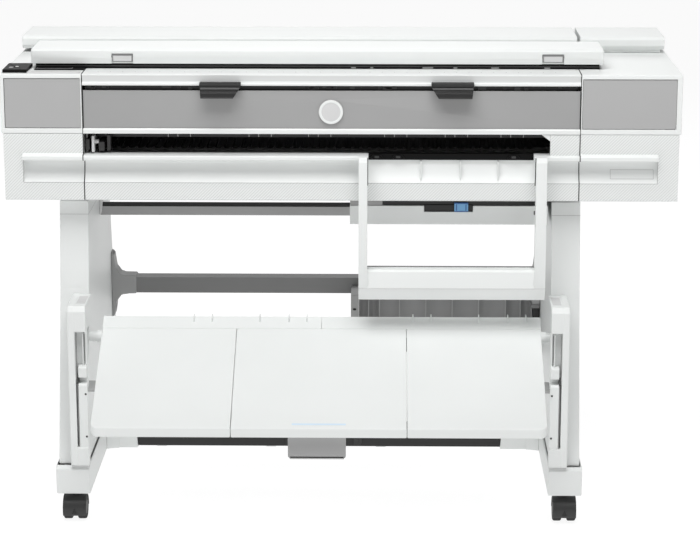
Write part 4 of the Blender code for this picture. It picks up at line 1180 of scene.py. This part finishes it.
plainNodes = {
    "chassis": "zincSteel", "carriage_rail": "zincSteel", "drive_pulley": "zincSteel",
    "scan_glass": "bedGlass",
    "roll_spindle": "satinBlack", "feed_roller": "rubberBlack", "exit_roller": "rubberBlack",
    "carriage_belt": "rubberBlack",
}
for node, obj in frame["nodes"].items():
    if node in dressed:
        continue
    for place in obj.material_slots:
        place.material = shades[plainNodes[node]]
print("CAD nodes finished")


# room, light and camera

room = {"floor": (tone(108), tone(112)), "floorGlow": 0.91, "size": 60.0, "sky": 0.16, "horizon": 0.80,
        "rise": 0.22}
lights = {
    "ceilingSoftbox": {"at": (-0.2, -1.5, 3.7), "aim": (0.0, 0.0, 0.5), "size": (3.0, 2.0), "power": 110},
    "leftSoftbox": {"at": (-2.6, -4.2, 1.7), "aim": (0.0, 0.0, 0.6), "size": (1.6, 1.6), "power": 7},
    "rightSoftbox": {"at": (2.6, -4.2, 1.7), "aim": (0.0, 0.0, 0.6), "size": (1.6, 1.6), "power": 10},
    "rearSoftbox": {"at": (0.0, 3.6, 3.0), "aim": (0.0, 0.3, 0.5), "size": (3.0, 2.0), "power": 48},
}


def plane(name, corners, finish):
    mesh = bpy.data.meshes.new(name)
    mesh.from_pydata(corners, [], [(0, 1, 2, 3)])
    obj = bpy.data.objects.new(name, mesh)
    bpy.context.collection.objects.link(obj)
    mesh.materials.append(finish.material)


def makeRoom():
    # a pale floor, and a sky that is bright at the horizon:
    # horizon * (1 - |z| / rise), never below nought, plus sky
    half = room["size"] / 2
    floor = Finish("paleFloor", Roughness=0.8, Emission_Color=(1, 1, 1, 1),
                   Emission_Strength=room["floorGlow"])
    floor.feed("Base Color", floor.blend(floor.noise(3.0), *room["floor"]))
    plane("floor", [(-half, -half, 0), (half, -half, 0), (half, half, 0), (-half, half, 0)], floor)
    world = bpy.data.worlds.new("studio")
    bpy.context.scene.world = world
    world.use_nodes = True
    board = Board(world.node_tree)
    around = board.node("ShaderNodeTexCoord", output="Generated")
    height = board.node("ShaderNodeSeparateXYZ", sockets={0: around}, output=2).maths("ABSOLUTE")
    glow = (1 - height / room["rise"]).maths("MAXIMUM", 0.0)
    board.tree.links.new((room["sky"] + room["horizon"] * glow).socket,
                         board.tree.nodes["Background"].inputs["Strength"])
    board.tree.nodes["Background"].inputs["Color"].default_value = (1, 1, 1, 1)


def makeLight(name, look):
    lamp = bpy.data.lights.new(name, "AREA")
    lamp.shape = "RECTANGLE"
    lamp.size, lamp.size_y = look["size"]
    lamp.energy = look["power"]
    obj = bpy.data.objects.new(name, lamp)
    bpy.context.collection.objects.link(obj)
    obj.location = look["at"]
    aimAt(obj, np.array(look["aim"]) - np.array(look["at"]))


def aimAt(obj, towards):
    obj.rotation_euler = Vector(towards).to_track_quat("-Z", "Y").to_euler()


view = {"eye": (0.086, -4.8435, 1.68), "aim": (0.0168, 0.0066, 0.467), "lens": 119.53}


def makeCamera():
    lens = bpy.data.cameras.new("viewer")
    lens.lens = view["lens"]
    lens.sensor_width = 36

    camera = bpy.data.objects.new("viewer", lens)
    bpy.context.collection.objects.link(camera)
    camera.location = view["eye"]
    aimAt(camera, np.array(view["aim"]) - np.array(view["eye"]))
    bpy.context.scene.camera = camera


makeRoom()
for name, look in lights.items():
    makeLight(name, look)
makeCamera()
bpy.context.scene.view_settings.view_transform = "Standard"
print("room, lights and camera set")
